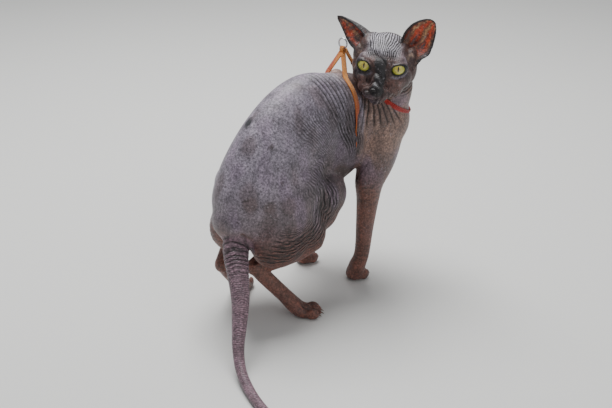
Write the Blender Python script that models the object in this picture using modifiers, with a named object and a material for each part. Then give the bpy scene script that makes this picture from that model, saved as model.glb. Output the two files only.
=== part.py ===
"""A sphynx cat, life size, crouched with its hind legs bunched and its head turned back.

The cat's chest faces +Y, its right side is +X and the floor is z = 0.  The body is
modelled whole from lofts and balls, fused and smoothed, and then parted with thin cuts
into head, neck, torso, tail and legs.  Sizes are in metres.
"""
import bmesh
import bpy
import numpy as np
from math import cos, pi, radians, sin
from mathutils import Matrix, Vector
from mathutils.bvhtree import BVHTree

# Driving sizes of the body
BODY_HALF_WIDTH = 0.056
FOREARM_RADIUS = 0.0110
WRIST_RADIUS = 0.0095
TAIL_RADIUS = 0.0150
HEAD_HALF_WIDTH = 0.0335
EYE_RADIUS = 0.0102
EAR_THICKNESS = 0.0018
TOE_RADIUS = 0.0043

# Driving sizes of the harness
STRAP_HALF_WIDTH = 0.0042
STRAP_THICKNESS = 0.0014
RING_RADIUS = 0.0060
RING_WIRE = 0.0010

# Places of the pose
TAIL_CUTS = (0.36, 0.68)
RING_PLACE = Vector((0.003, 0.0770, 0.3000))
GIRTH_CENTRE = Vector((0.008, 0.0490, 0.2000))
GIRTH_LEAN = 0.12
COLLAR_CENTRE = Vector((0.037, 0.1130, 0.2385))
COLLAR_AXIS = Vector((0.45, 0.38, 0.81))
NAPE = Vector((0.018, 0.102, 0.266))
SHOULDER_SHIFT = 0.009
HEAD_CENTRE = Vector((0.0587, 0.0844, 0.2825))
HEAD_YAW = radians(-63.0)
HEAD_ROLL = radians(3.5)
EYE_PLACE = (0.0192, 0.0185, 0.0040)

# Edges of the ears in millimetres of the head's frame, from the base to the tip:
# first the edge towards the crown, then the edge towards the cheek
EAR_EDGES = {
    "right": (((15, -4, 14), (21, -1, 21), (26, -4, 29), (35, -9, 36), (47, -14, 41), (62, -18, 47)),
              ((30, 4, 4), (36, -1, 12), (43, -6, 16), (49, -11, 22), (55, -15, 32), (63, -18, 46))),
    "left": (((-12, -4, 20), (-17, -1, 31), (-20, -6, 41), (-28, -12, 50), (-41, -17, 55), (-51, -19, 54)),
             ((-36, 4, 0), (-43, 0, 11), (-51, -5, 17), (-54, -10, 29), (-55, -14, 42), (-53, -19, 52))),
}
EAR_BOW = {"right": (-0.60, -0.58, 0.55), "left": (0.10, -0.98, 0.12)}
EAR_DEPTH = {"right": 0.0175, "left": 0.015}
NECK_CUT = Vector((0.0460, 0.1090, 0.2560))

# Sizes of the making: gap between parts, voxels and triangle counts
GAP = 0.0003
BODY_VOXEL = 0.0021
HEAD_VOXEL = 0.0011
BODY_TRIANGLES = 5000
HEAD_TRIANGLES = 2300

CAT = "sphynx_cat"
UP = Vector((0, 0, 1))
SIDES = {"right": 1, "left": -1}


def collection(name):
    """A collection of the scene, made when it is missing."""
    found = bpy.data.collections.get(name)
    if found is None:
        found = bpy.data.collections.new(name)
        bpy.context.scene.collection.children.link(found)
    return found


def add_object(name, bm, group="forms"):
    """Put a bmesh in a new object of the named collection."""
    mesh = bpy.data.meshes.new(name)
    bmesh.ops.recalc_face_normals(bm, faces=bm.faces)
    bm.to_mesh(mesh)
    bm.free()
    made = bpy.data.objects.new(name, mesh)
    collection(group).objects.link(made)
    return made


def remove(thing):
    """Remove an object and its mesh."""
    mesh = thing.data
    bpy.data.objects.remove(thing, do_unlink=True)
    bpy.data.meshes.remove(mesh)


def apply_modifiers(thing):
    """Replace the object's mesh with the evaluated one and drop its modifiers."""
    graph = bpy.context.evaluated_depsgraph_get()
    old = thing.data
    made = bpy.data.meshes.new_from_object(thing.evaluated_get(graph))
    thing.modifiers.clear()
    thing.data = made
    bpy.data.meshes.remove(old)
    return thing


def along(stations, steps):
    """Rows of a smooth curve through the stations, each a point and its sizes."""
    rows = np.array([list(s[0]) + list(s[1:]) for s in stations], float)
    padded = np.vstack([2 * rows[0] - rows[1], rows, 2 * rows[-1] - rows[-2]])
    out = []
    for i in range(1, len(padded) - 2):
        a, b, c, d = padded[i - 1:i + 3]
        for t in np.linspace(0, 1, steps, endpoint=False):
            out.append(0.5 * (2 * b + (c - a) * t + (2 * a - 5 * b + 4 * c - d) * t ** 2
                              + (3 * b - a - 3 * c + d) * t ** 3))
    out.append(rows[-1])
    return np.array(out)


def rounded_ends(path):
    """The path with a domed end added beyond its first and last rows."""
    domes = []
    for end, inner in ((0, 1), (-1, -2)):
        out = path[end, :3] - path[inner, :3]
        out = out / np.linalg.norm(out)
        reach = 0.8 * path[end, 3:5].min()
        rows = []
        for a in (0.35, 0.7, 0.95):
            rows.append(np.r_[path[end, :3] + out * reach * a, path[end, 3:5] * (1 - a * a) ** 0.5])
        domes.append(rows)
    return np.vstack([domes[0][::-1], path, domes[1]])


def loft(name, stations, across=(1, 0, 0), sides=20, steps=5):
    """A closed tube of ovals: each station is a centre, a half width and a half depth."""
    path = rounded_ends(along(stations, steps))
    centres = path[:, :3]
    tangents = np.gradient(centres, axis=0)
    bm = bmesh.new()
    rings = []
    for centre, tangent, (half_width, half_depth) in zip(centres, tangents, path[:, 3:5]):
        t = Vector(tangent).normalized()
        side = Vector(across) - t * Vector(across).dot(t)
        side.normalize()
        up = side.cross(t)
        ring = []
        for k in range(sides):
            a = 2 * pi * k / sides
            ring.append(bm.verts.new(Vector(centre) + side * cos(a) * half_width + up * sin(a) * half_depth))
        rings.append(ring)
    for low, high in zip(rings, rings[1:]):
        for k in range(sides):
            bm.faces.new((low[k], low[(k + 1) % sides], high[(k + 1) % sides], high[k]))
    bm.faces.new(rings[0])
    bm.faces.new(rings[-1])
    return add_object(name, bm)


def ball(name, centre, radii, turn=None, segments=20):
    """An ellipsoid with its own half sizes and turn."""
    bm = bmesh.new()
    bmesh.ops.create_uvsphere(bm, u_segments=segments, v_segments=segments * 2 // 3, radius=1.0)
    scale = Matrix.Diagonal((*radii, 1.0))
    place = Matrix.Translation(centre) @ (turn.to_4x4() if turn else Matrix()) @ scale
    bmesh.ops.transform(bm, matrix=place, verts=bm.verts)
    return add_object(name, bm)


def tube(name, points, radius, cyclic=False):
    """A round wire through the points, as a closed mesh."""
    curve = bpy.data.curves.new(name, "CURVE")
    curve.dimensions = "3D"
    curve.bevel_depth = radius
    curve.bevel_resolution = 1
    curve.use_fill_caps = True
    spline = curve.splines.new("POLY")
    spline.points.add(len(points) - 1)
    spline.use_cyclic_u = cyclic
    for target, point in zip(spline.points, points):
        target.co = (*point, 1)
    wire = bpy.data.objects.new(name + "_curve", curve)
    bpy.context.scene.collection.objects.link(wire)
    graph = bpy.context.evaluated_depsgraph_get()
    mesh = bpy.data.meshes.new_from_object(wire.evaluated_get(graph))
    bm = bmesh.new()
    bm.from_mesh(mesh)
    bmesh.ops.remove_doubles(bm, verts=bm.verts, dist=0.00001)
    bpy.data.objects.remove(wire, do_unlink=True)
    bpy.data.curves.remove(curve)
    bpy.data.meshes.remove(mesh)
    return add_object(name, bm)


def head_axes():
    """The head's own frame: toward its right side, forward and up, as columns."""
    forward = Vector((cos(HEAD_YAW), sin(HEAD_YAW), 0))
    right = Vector((sin(HEAD_YAW), -cos(HEAD_YAW), 0))
    level = Matrix((right, forward, right.cross(forward))).transposed()
    return level @ Matrix.Rotation(-HEAD_ROLL, 3, "Y")


HEAD = head_axes()


def on_head(side, forward, up):
    """A point given in the head's own frame."""
    return HEAD_CENTRE + HEAD @ Vector((side, forward, up))


def head_ball(name, centre, radii, yaw=0.0, roll=0.0, segments=20):
    """A ball of the head, yawed and rolled in the head's frame."""
    turn = HEAD @ Matrix.Rotation(yaw, 3, "Z") @ Matrix.Rotation(roll, 3, "Y")
    return ball(name, on_head(*centre), radii, turn, segments)


def fuse(name, forms, voxel, triangles, rounds, weight=None):
    """Join closed forms into one smooth body of about so many triangles."""
    bm = bmesh.new()
    for form in forms:
        bm.from_mesh(form.data)
    for form in forms:
        remove(form)
    body = add_object(name, bm, CAT)
    remesh = body.modifiers.new("fuse", "REMESH")
    remesh.mode = "VOXEL"
    remesh.voxel_size = voxel
    apply_modifiers(body)
    smooth = body.modifiers.new("smooth", "SMOOTH")
    smooth.iterations = rounds
    smooth.factor = 0.5
    if weight:
        group = body.vertex_groups.new(name="soft")
        for vertex in body.data.vertices:
            group.add([vertex.index], weight(vertex.co), "REPLACE")
        smooth.vertex_group = "soft"
    apply_modifiers(body)
    body.vertex_groups.clear()
    thin = body.modifiers.new("thin", "DECIMATE")
    thin.ratio = min(1.0, triangles / sum(len(p.vertices) - 2 for p in body.data.polygons))
    return apply_modifiers(body)


def grown(thing, distance=GAP):
    """A copy of a closed mesh moved out along its normals."""
    bm = bmesh.new()
    bm.from_mesh(thing.data)
    bm.normal_update()
    offsets = [vertex.normal * distance * min(1.4, vertex.calc_shell_factor()) for vertex in bm.verts]
    for vertex, offset in zip(bm.verts, offsets):
        vertex.co += offset
    return add_object(thing.name + "_grown", bm, "cutters")


def copy_of(thing, name="copy", group="cutters"):
    """A second object with its own copy of the mesh."""
    made = bpy.data.objects.new(name, thing.data.copy())
    collection(group).objects.link(made)
    return made


def combine(target, cutter, operation="DIFFERENCE", solver="EXACT"):
    """Cut the target with the cutter, or keep what they share, and remove the cutter."""
    boolean = target.modifiers.new("cut", "BOOLEAN")
    boolean.operation = operation
    boolean.solver = solver
    boolean.object = cutter
    apply_modifiers(target)
    remove(cutter)
    return target


def shells(thing):
    """The connected closed surfaces of a mesh, as lists of faces of a new bmesh."""
    bm = bmesh.new()
    bm.from_mesh(thing.data)
    bm.faces.ensure_lookup_table()
    unseen = set(bm.faces)
    groups = []
    while unseen:
        stack = [unseen.pop()]
        group = []
        while stack:
            face = stack.pop()
            group.append(face)
            for edge in face.edges:
                for near in edge.link_faces:
                    if near in unseen:
                        unseen.remove(near)
                        stack.append(near)
        groups.append(group)
    return bm, groups


def keep_only(bm, faces):
    """Drop every face of the bmesh that isn't in the list."""
    chosen = set(faces)
    bmesh.ops.delete(bm, geom=[f for f in bm.faces if f not in chosen], context="FACES")
    bmesh.ops.triangulate(bm, faces=bm.faces)
    return bm


def largest(thing):
    """Keep only the largest closed surface of an object."""
    bm, groups = shells(thing)
    keep_only(bm, max(groups, key=lambda group: sum(f.calc_area() for f in group)))
    bm.to_mesh(thing.data)
    bm.free()
    return thing


def piece_near(thing, name, point):
    """A new object holding the closed surface whose middle is nearest the point."""
    bm, groups = shells(thing)
    big = [g for g in groups if sum(f.calc_area() for f in g) > 0.00005]

    def distance(group):
        return min((f.calc_center_median() - point).length for f in group)

    keep_only(bm, min(big, key=distance))
    return add_object(name, bm, CAT)


def disc(point, normal, radius):
    """A thin round cutter across a limb."""
    bm = bmesh.new()
    bmesh.ops.create_cone(bm, cap_ends=True, segments=24, radius1=radius, radius2=radius, depth=GAP)
    turn = Vector(normal).to_track_quat("Z", "Y").to_matrix().to_4x4()
    bmesh.ops.transform(bm, matrix=Matrix.Translation(point) @ turn, verts=bm.verts)
    return add_object("disc", bm, "cutters")


def half_space(point, normal, size=0.6):
    """A big box on the side of the plane that the normal points to."""
    bm = bmesh.new()
    bmesh.ops.create_cube(bm, size=size)
    bmesh.ops.translate(bm, vec=(0, 0, size / 2), verts=bm.verts)
    turn = Vector(normal).to_track_quat("Z", "Y").to_matrix().to_4x4()
    bmesh.ops.transform(bm, matrix=Matrix.Translation(point) @ turn, verts=bm.verts)
    return add_object("half_space", bm, "cutters")


def trunk_forms():
    """The arched trunk from the rump to the chest, with flanks and a hanging belly."""
    w = BODY_HALF_WIDTH
    spine = [
        ((0.000, -0.108, 0.128), 0.60 * w, 0.030),
        ((0.000, -0.094, 0.143), 0.78 * w, 0.044),
        ((0.000, -0.068, 0.166), 0.84 * w, 0.057),
        ((0.002, -0.036, 0.190), 0.78 * w, 0.069),
        ((0.005, -0.002, 0.204), 0.76 * w, 0.075),
        ((0.007, 0.036, 0.204), 0.76 * w, 0.070),
        ((0.012, 0.072, 0.206), 0.72 * w, 0.062),
        ((0.023, 0.099, 0.206), 0.60 * w, 0.050),
    ]
    forms = [
        loft("trunk", spine),
        ball("ribs", (0.006, 0.040, 0.190), (0.90 * w, 0.052, 0.054)),
        ball("flanks", (0.001, -0.046, 0.152), (1.04 * w, 0.062, 0.050)),
        ball("belly", (0.010, -0.003, 0.135), (0.92 * w, 0.052, 0.038)),
        ball("flank_fold", (0.036, -0.012, 0.118), (0.022, 0.034, 0.024)),
        ball("breast", (0.035, 0.115, 0.204), (0.037, 0.036, 0.040)),
    ]
    for side in SIDES.values():
        forms.append(ball("haunch", (side * 0.032, -0.071, 0.109), (0.029, 0.044, 0.037)))
    return forms


def neck_stations():
    """The neck, which rises from the chest and curls to the right and back to the skull."""
    return [
        ((0.026, 0.098, 0.216), 0.037, 0.043),
        ((0.037, 0.114, 0.233), 0.034, 0.036),
        ((0.044, 0.114, 0.250), 0.031, 0.031),
        ((0.050, 0.101, 0.266), 0.028, 0.028),
    ]


def toe_forms(mark, tip, run, spread):
    """Four toes side by side behind the tip, the outer two set back."""
    over = run.cross(UP)
    turn = Matrix((over, run, UP)).transposed()
    forms = []
    for k in range(4):
        across = (k - 1.5) * spread
        back = 0.0026 if k in (0, 3) else 0.0
        centre = tip - run * (2 * TOE_RADIUS + back) + over * across
        centre.z = 1.60 * TOE_RADIUS
        radii = (TOE_RADIUS, 2 * TOE_RADIUS, 1.65 * TOE_RADIUS)
        forms.append(ball("toe_%s%d" % (mark, k), centre, radii, turn, 12))
    return forms


# Front legs: elbow, wrist and middle of the paw
FRONT_JOINTS = {
    "right": ((0.051, 0.074, 0.138), (0.0495, 0.0635, 0.040), (0.0415, 0.0595, 0.010)),
    "left": ((-0.045, 0.066, 0.138), (-0.0395, 0.0500, 0.040), (-0.0370, 0.0520, 0.010)),
}


def front_leg_forms(name):
    """A front leg: shoulder blade, upper arm, forearm, wrist and paw with four toes."""
    side, f, w = SIDES[name], FOREARM_RADIUS, WRIST_RADIUS
    elbow, wrist, paw = [Vector(place) for place in FRONT_JOINTS[name]]
    shift = SHOULDER_SHIFT
    limb = [
        ((side * 0.020 + shift, 0.072, 0.245), 0.014, 0.026),
        ((side * 0.034 + shift, 0.091, 0.225), 0.020, 0.030),
        ((side * 0.039 + shift, 0.102, 0.195), 0.021, 0.032),
        ((side * 0.041 + shift, 0.092, 0.165), 0.019, 0.031),
        (elbow, 0.0170, 0.0230),
        (elbow.lerp(wrist, 0.22), 1.30 * f, 1.50 * f),
        (elbow.lerp(wrist, 0.60), f, 1.15 * f),
        (wrist, w, 1.05 * w),
        (wrist.lerp(paw, 0.65), 1.12 * w, 1.2 * w),
        (paw, 1.25 * w, 1.0 * w),
    ]
    pad = ball("front_pad_" + name, (paw.x, paw.y + 0.002, 0.008), (0.0125, 0.0130, 0.0085))
    tip = Vector((paw.x, paw.y + 0.020, 0))
    toes = toe_forms("front_" + name, tip, Vector((0, 1, 0)), 0.0066)
    return [loft("front_limb_" + name, limb, steps=4), pad] + toes


# Hind legs: knee, hock, ball of the foot and tip of the toes
HIND_JOINTS = {
    "right": ((0.044, -0.030, 0.098), (0.013, -0.097, 0.073), (0.044, -0.055, 0.0105), (0.066, -0.037, 0.0)),
    "left": ((-0.042, -0.038, 0.096), (-0.034, -0.102, 0.062), (-0.049, -0.058, 0.0105), (-0.060, -0.036, 0.0)),
}


def hind_joints(name):
    """The four places of a hind leg, as vectors."""
    return [Vector(place) for place in HIND_JOINTS[name]]


def hind_leg_forms(name):
    """A folded hind leg: thigh, shank, raised hock, long foot and four toes."""
    side = SIDES[name]
    hip = Vector((side * 0.030, -0.074, 0.160))
    knee, hock, root, tip = hind_joints(name)
    thigh = [
        (hip + Vector((0, -0.006, 0.014)), 0.018, 0.028),
        (hip.lerp(knee, 0.30), 0.025, 0.040),
        (hip.lerp(knee, 0.65), 0.024, 0.034),
        (knee, 0.018, 0.021),
    ]
    shank = [
        (knee, 0.0170, 0.0190),
        (knee.lerp(hock, 0.35), 0.0170, 0.0200),
        (knee.lerp(hock, 0.72), 0.0135, 0.0155),
        (hock, 0.0088, 0.0105),
    ]
    foot = [
        (hock + Vector((0, -0.002, 0.003)), 0.0080, 0.0085),
        (hock.lerp(root, 0.25), 0.0085, 0.0095),
        (hock.lerp(root, 0.65), 0.0092, 0.0090),
        (root, 0.0125, 0.0095),
        (root.lerp(tip, 0.40), 0.0125, 0.0080),
    ]
    run = (tip - root)
    run.z = 0
    run.normalize()
    return [
        loft("thigh_" + name, thigh, across=(1, 0.3 * side, 0)),
        loft("shank_" + name, shank, across=(1, 0, 0.3)),
        loft("foot_" + name, foot, across=run.cross(UP), steps=4),
        ball("heel_" + name, hock, (0.0092, 0.0100, 0.0100)),
    ] + toe_forms("hind_" + name, tip, run, 0.0062)


def hind_leg_region(name):
    """The room of a hind leg: all that lies inside it is parted from the trunk."""
    side = SIDES[name]
    knee, hock, root, tip = hind_joints(name)
    shank = [(knee, 0.028, 0.028), (knee.lerp(hock, 0.5), 0.023, 0.026), (hock, 0.018, 0.018)]
    foot = [(hock, 0.016, 0.016), (hock.lerp(root, 0.5), 0.018, 0.018), (tip, 0.024, 0.024),
            (tip * 1.3, 0.018, 0.018)]
    forms = [
        ball("region_thigh", (side * 0.050, -0.054, 0.112), (0.030, 0.052, 0.048)),
        loft("region_shank", shank),
        loft("region_foot", foot),
    ]
    return fuse("region_" + name, forms, 0.003, 500, 6)


def front_leg_region(name):
    """The room of a front leg, domed at the top inside the shoulder."""
    side = SIDES[name]
    elbow, wrist, paw = [Vector(place) for place in FRONT_JOINTS[name]]
    rows = [(elbow + Vector((0, 0.006, 0.008)), 0.027, 0.033), (elbow.lerp(wrist, 0.2), 0.027, 0.032),
            (elbow.lerp(wrist, 0.8), 0.026, 0.030), ((paw.x, paw.y + 0.006, -0.010), 0.028, 0.040)]
    return fuse("region_" + name, [loft("room", rows)], 0.003, 300, 4)


def neck_region():
    """The room of the neck, domed at the bottom inside the chest."""
    rows = [(place, across + 0.007, deep + 0.007) for place, across, deep in neck_stations()]
    rows.append(((0.064, 0.089, 0.280), 0.036, 0.036))
    return fuse("region_neck", [loft("room", rows[1:])], 0.003, 400, 4)


def tail_region():
    """The room of the tail, domed at its root inside the rump."""
    rows = [(place, 1.15 * across + 0.001, 1.15 * deep + 0.001) for place, across, deep in tail_stations()[1:]]
    rows.append((Vector(rows[-1][0]) * 1.1, 0.006, 0.006))
    return fuse("region_tail", [loft("room", rows)], 0.0015, 900, 2)


def tail_stations():
    """The tail from its root, down and back to the floor, where it lies to its tip."""
    r = TAIL_RADIUS
    route = [
        ((0.000, -0.096, 0.126), 1.08),
        ((0.006, -0.115, 0.116), 1.06),
        ((0.016, -0.129, 0.104), 0.97),
        ((0.029, -0.140, 0.087), 0.82),
        ((0.043, -0.152, 0.065), 0.69),
        ((0.054, -0.166, 0.043), 0.57),
        ((0.065, -0.180, 0.025), 0.46),
        ((0.083, -0.195, 0.0115), 0.40),
        ((0.110, -0.210, 0.0058), 0.38),
        ((0.138, -0.222, 0.0050), 0.34),
        ((0.166, -0.229, 0.0042), 0.28),
        ((0.192, -0.230, 0.0030), 0.19),
    ]
    return [(place, share * r, share * r) for place, share in route]


def head_forms():
    """The wedge head in millimetres: skull, cheeks, brows, bridge, short muzzle and chin."""
    bridge = [((0, 20, 12), 9.5, 7), ((0, 29, 3), 8.5, 7), ((0, 37, -6), 7.5, 6.5), ((0, 44, -14), 6.4, 4.8)]
    forms = [loft("bridge", [(on_head(*(v / 1000 for v in place)), wide / 1000, deep / 1000)
                             for place, wide, deep in bridge], across=HEAD.col[0])]
    single = [
        ((0, -11, 6), (31, 36, 29)), ((0, 8, -3), (28.5, 26, 26)),
        ((0, 33, -22.5), (15.5, 14.5, 10.5)), ((0, 46, -17), (6.2, 4, 4.8)),
        ((0, 33, -31.5), (9.5, 9.5, 7)), ((0, 10, -23), (20, 26, 12.5)),
    ]
    paired = [
        ((23.5, 9, -9), (11, 16, 14)), ((15, 18, -20), (12, 15, 11)),
        ((17, 15.5, 12), (12.5, 9, 7)), ((8.2, 37.5, -23), (9.2, 9.5, 7.8)),
        ((30, -9, 8), (9, 14, 15)), ((30, -6, -4), (8.5, 14, 16)),
    ]
    lid = 1000 * EYE_RADIUS + 1.7
    paired.append((tuple(1000 * v for v in EYE_PLACE), (lid, lid, lid)))
    for side in SIDES.values():
        single += [((side * x, y, z), radii) for (x, y, z), radii in paired]
    for place, radii in single:
        forms.append(head_ball("head_form", [v / 1000 for v in place], [v / 1000 for v in radii]))
    return forms


def mouth_line():
    """The line of the mouth: from under the nose, down and back to both corners."""
    half = [(0.0, 0.0478, -0.0230), (0.0008, 0.0474, -0.0270), (0.0050, 0.0455, -0.0295),
            (0.0100, 0.0410, -0.0287), (0.0150, 0.0335, -0.0260), (0.0185, 0.0255, -0.0240)]
    left = [on_head(*place) for place in half]
    right = [on_head(-place[0], place[1], place[2]) for place in half[1:]]
    return right[::-1] + left


def carve_face(head):
    """Cut the eye openings, nostrils and the line of the mouth."""
    for side in SIDES.values():
        place = (side * EYE_PLACE[0], EYE_PLACE[1], EYE_PLACE[2])
        room = EYE_RADIUS + GAP
        combine(head, head_ball("socket", place, (room, room, room), segments=16))
        ahead = (side * (EYE_PLACE[0] + 0.0018), EYE_PLACE[1] + 0.0125, EYE_PLACE[2] - 0.0002)
        almond = (0.0086, 0.0110, 0.0058)
        combine(head, head_ball("opening", ahead, almond, -side * radians(9), -side * radians(14)))
        nostril = (side * 0.0034, 0.0502, -0.0185)
        combine(head, head_ball("nostril", nostril, (0.0013, 0.0030, 0.0010), yaw=-side * radians(30), segments=10))
    combine(head, tube("mouth", mouth_line(), 0.0008))
    return head


def ear(name):
    """A cupped ear: arcs between its two edge curves, bowed backwards, with a wall."""
    rows, columns = 11, 11
    edges = [along([(Vector(place) / 1000,) for place in row], 12) for row in EAR_EDGES[name]]
    bow = Vector(EAR_BOW[name]).normalized() * EAR_DEPTH[name]
    bm = bmesh.new()
    grid = []
    for i in range(rows):
        rise = 0.97 * i / (rows - 1)
        crown, cheek = [Vector(curve[round(rise * (len(curve) - 1))]) for curve in edges]
        line = []
        for j in range(columns):
            over = j / (columns - 1)
            depth = (1 - rise) ** 0.8 * (1 - (2 * over - 1) ** 2) ** 0.9
            line.append(bm.verts.new(on_head(*(crown.lerp(cheek, over) + bow * depth))))
        grid.append(line)
    for low, high in zip(grid, grid[1:]):
        for j in range(columns - 1):
            bm.faces.new((low[j], low[j + 1], high[j + 1], high[j]))
    leaf = add_object("ear_" + name, bm, CAT)
    wall = leaf.modifiers.new("wall", "SOLIDIFY")
    wall.thickness = EAR_THICKNESS
    wall.offset = 0
    return apply_modifiers(leaf)


def body_softness(place):
    """How far smoothing goes at a place: full on the trunk, little on toes and tail."""
    trunk = min(1.0, max(0.0, (place.z - 0.085) / 0.045))
    behind = min(1.0, max(0.0, (place.y + 0.135) / 0.020))
    return 0.10 + 0.90 * trunk * behind


def build_body():
    """The whole body without the head, flat under the soles."""
    forms = trunk_forms() + [loft("neck_form", neck_stations())]
    for name in SIDES:
        forms += front_leg_forms(name) + hind_leg_forms(name)
    forms.append(loft("tail_form", tail_stations(), sides=16))
    body = fuse("body", forms, BODY_VOXEL, BODY_TRIANGLES, 45, body_softness)
    return largest(combine(body, half_space((0, 0, 0), (0, 0, -1))))


def ribbon(name, rows, cyclic=False):
    """A flat strap through rows of a point and its outward direction."""
    bm = bmesh.new()
    count = len(rows)
    rings = []
    for k, (point, out) in enumerate(rows):
        before = rows[k - 1][0] if cyclic or k else point
        after = rows[(k + 1) % count][0] if cyclic or k + 1 < count else point
        over = (after - before).cross(out).normalized() * STRAP_HALF_WIDTH
        up = out.normalized()
        low, high = point - up * STRAP_THICKNESS, point + up * STRAP_THICKNESS
        rings.append([bm.verts.new(v) for v in (low - over, low + over, high + over, high - over)])
    pairs = list(zip(rings, rings[1:]))
    if cyclic:
        pairs.append((rings[-1], rings[0]))
    else:
        bm.faces.new(rings[0])
        bm.faces.new(rings[-1])
    for one, two in pairs:
        for k in range(4):
            bm.faces.new((one[k], one[(k + 1) % 4], two[(k + 1) % 4], two[k]))
    return add_object(name, bm, CAT)


def round_body(surface, centre, across, upward, count=44):
    """Rows of a loop that lies on the surface, in the plane of two directions."""
    rows = []
    for k in range(count):
        a = 2 * pi * k / count
        out = (across * cos(a) + upward * sin(a)).normalized()
        hit, _, _, _ = surface.ray_cast(centre + out * 0.15, -out)
        rows.append((hit + out * 0.0006, out))
    return rows


def harness(body):
    """Girth strap pulled up to its ring, collar, and the short strap that joins them."""
    bm = bmesh.new()
    bm.from_mesh(body.data)
    surface = BVHTree.FromBMesh(bm)
    bm.free()
    peak = RING_PLACE - UP * (RING_RADIUS + RING_WIRE + 0.0020)
    loop = round_body(surface, GIRTH_CENTRE, Vector((1, 0, 0)), Vector((0, GIRTH_LEAN, 1)))
    loop = [row for row in loop if abs(row[0].x - GIRTH_CENTRE.x) > 0.014 or row[0].z < GIRTH_CENTRE.z]
    start = min(range(len(loop)), key=lambda k: (loop[k][0] - peak).length if loop[k][0].x < peak.x else 1.0)
    loop = loop[start:] + loop[:start]
    first, last = loop[0][0], loop[-1][0]
    risers = []
    for foot, shares in ((last, (0.25, 0.5, 0.75, 0.95)), (first, (0.95, 0.75, 0.5, 0.25))):
        out = (peak - foot).cross(Vector((0, 1, 0)))
        out = out if out.z > 0 else -out
        for share in shares:
            risers.append((foot.lerp(peak, share), out.normalized()))
    girth = ribbon("harness_girth", loop + risers, cyclic=True)
    axis = COLLAR_AXIS.normalized()
    across = axis.cross(UP).normalized()
    collar_rows = round_body(surface, COLLAR_CENTRE, across, axis.cross(across), 32)
    collar = ribbon("harness_collar", collar_rows, cyclic=True)
    for strap in (collar, girth):
        combine(strap, grown(body))
    largest(collar)
    largest(combine(girth, grown(collar)))
    nape, out = min(collar_rows, key=lambda row: (row[0] - NAPE).length)
    top = peak + Vector((0.002, 0.006, -0.001))
    foot = nape + out * STRAP_THICKNESS
    link = ribbon("harness_neck_strap", [(top.lerp(foot, k / 4), out) for k in range(5)])
    for other in (girth, collar, body):
        combine(link, grown(other))
    largest(link)
    rows = [RING_PLACE + Vector((RING_RADIUS * cos(a), 0, RING_RADIUS * sin(a)))
            for a in [2 * pi * k / 20 for k in range(20)]]
    ring = tube("harness_ring", rows, RING_WIRE, cyclic=True)
    ring.users_collection[0].objects.unlink(ring)
    collection(CAT).objects.link(ring)
    return collar, link


def part_off(body, name, region):
    """Part what lies inside the region from the body, with a thin gap between them."""
    piece = copy_of(body, name, CAT)
    combine(body, grown(region))
    return largest(combine(piece, region, "INTERSECT"))


def part_body(body):
    """Part the body into torso, neck, four legs and three tail lengths."""
    for name in SIDES:
        part_off(body, "leg_hind_" + name, hind_leg_region(name))
        part_off(body, "leg_front_" + name, front_leg_region(name))
    neck = part_off(body, "neck", neck_region())
    tail = part_off(body, "tail", tail_region())
    route = along(tail_stations(), 20)
    for share in TAIL_CUTS:
        k = int(share * (len(route) - 1))
        here, ahead = Vector(route[k][:3]), Vector(route[k + 1][:3])
        combine(tail, disc(here, ahead - here, 1.9 * route[k][3]))
    for name, share in zip(("tail_base", "tail_middle", "tail_tip"), (0.2, 0.5, 0.9)):
        piece_near(tail, name, Vector(route[int(share * (len(route) - 1))][:3]))
    remove(tail)
    torso = largest(body)
    torso.name = torso.data.name = "torso"
    return torso, neck


def build_head(torso, neck, straps):
    """The head, parted from the neck, with carved face, cupped ears and eyeballs."""
    away = (HEAD_CENTRE - NECK_CUT).normalized()
    combine(neck, half_space(NECK_CUT - away * GAP / 2, away))
    largest(neck)
    forms = head_forms() + [loft("neck_form", neck_stations())]
    head = fuse("head", forms, HEAD_VOXEL, HEAD_TRIANGLES, 14)
    shell = combine(grown(head), half_space(NECK_CUT, away), "INTERSECT")
    combine(head, half_space(NECK_CUT + away * GAP / 2, away), "INTERSECT")
    largest(head)
    for other in (torso, neck, *straps):
        largest(combine(other, copy_of(shell)))
    for name, side in SIDES.items():
        place = on_head(side * EYE_PLACE[0], EYE_PLACE[1], EYE_PLACE[2])
        eye = ball("eye_" + name, place, (EYE_RADIUS,) * 3, HEAD, segments=16)
        eye.users_collection[0].objects.unlink(eye)
        collection(CAT).objects.link(eye)
        largest(combine(ear(name), copy_of(shell), solver="MANIFOLD"))
    remove(shell)
    return largest(carve_face(head))


# Colour, roughness and metallic value of each kind of surface
SURFACES = {
    "skin": ((0.25, 0.21, 0.22), 0.55, 0.0),
    "ear": ((0.30, 0.14, 0.10), 0.55, 0.0),
    "eye": ((0.55, 0.56, 0.12), 0.10, 0.0),
    "leg": ((0.25, 0.16, 0.14), 0.55, 0.0),
    "tail": ((0.23, 0.17, 0.18), 0.55, 0.0),
    "harness": ((0.80, 0.30, 0.05), 0.50, 0.0),
    "harness_ring": ((0.70, 0.70, 0.68), 0.20, 1.0),
}


def paint(thing):
    """Give a part a material of its own, by the kind that its name starts with."""
    kinds = [kind for kind in SURFACES if thing.name.startswith(kind)]
    colour, roughness, metallic = SURFACES[max(kinds, key=len) if kinds else "skin"]
    surface = bpy.data.materials.new(thing.name)
    surface.use_nodes = True
    shader = surface.node_tree.nodes["Principled BSDF"]
    shader.inputs["Base Color"].default_value = (*colour, 1.0)
    shader.inputs["Roughness"].default_value = roughness
    shader.inputs["Metallic"].default_value = metallic
    thing.data.materials.clear()
    thing.data.materials.append(surface)


def centre_on_floor(parts):
    """Move every part so that the middle of the whole outline from above is the origin."""
    corners = np.array([vertex.co for part in parts for vertex in part.data.vertices])
    middle = (corners.min(axis=0) + corners.max(axis=0)) / 2
    for part in parts:
        part.data.transform(Matrix.Translation((-middle[0], -middle[1], 0)))


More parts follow.
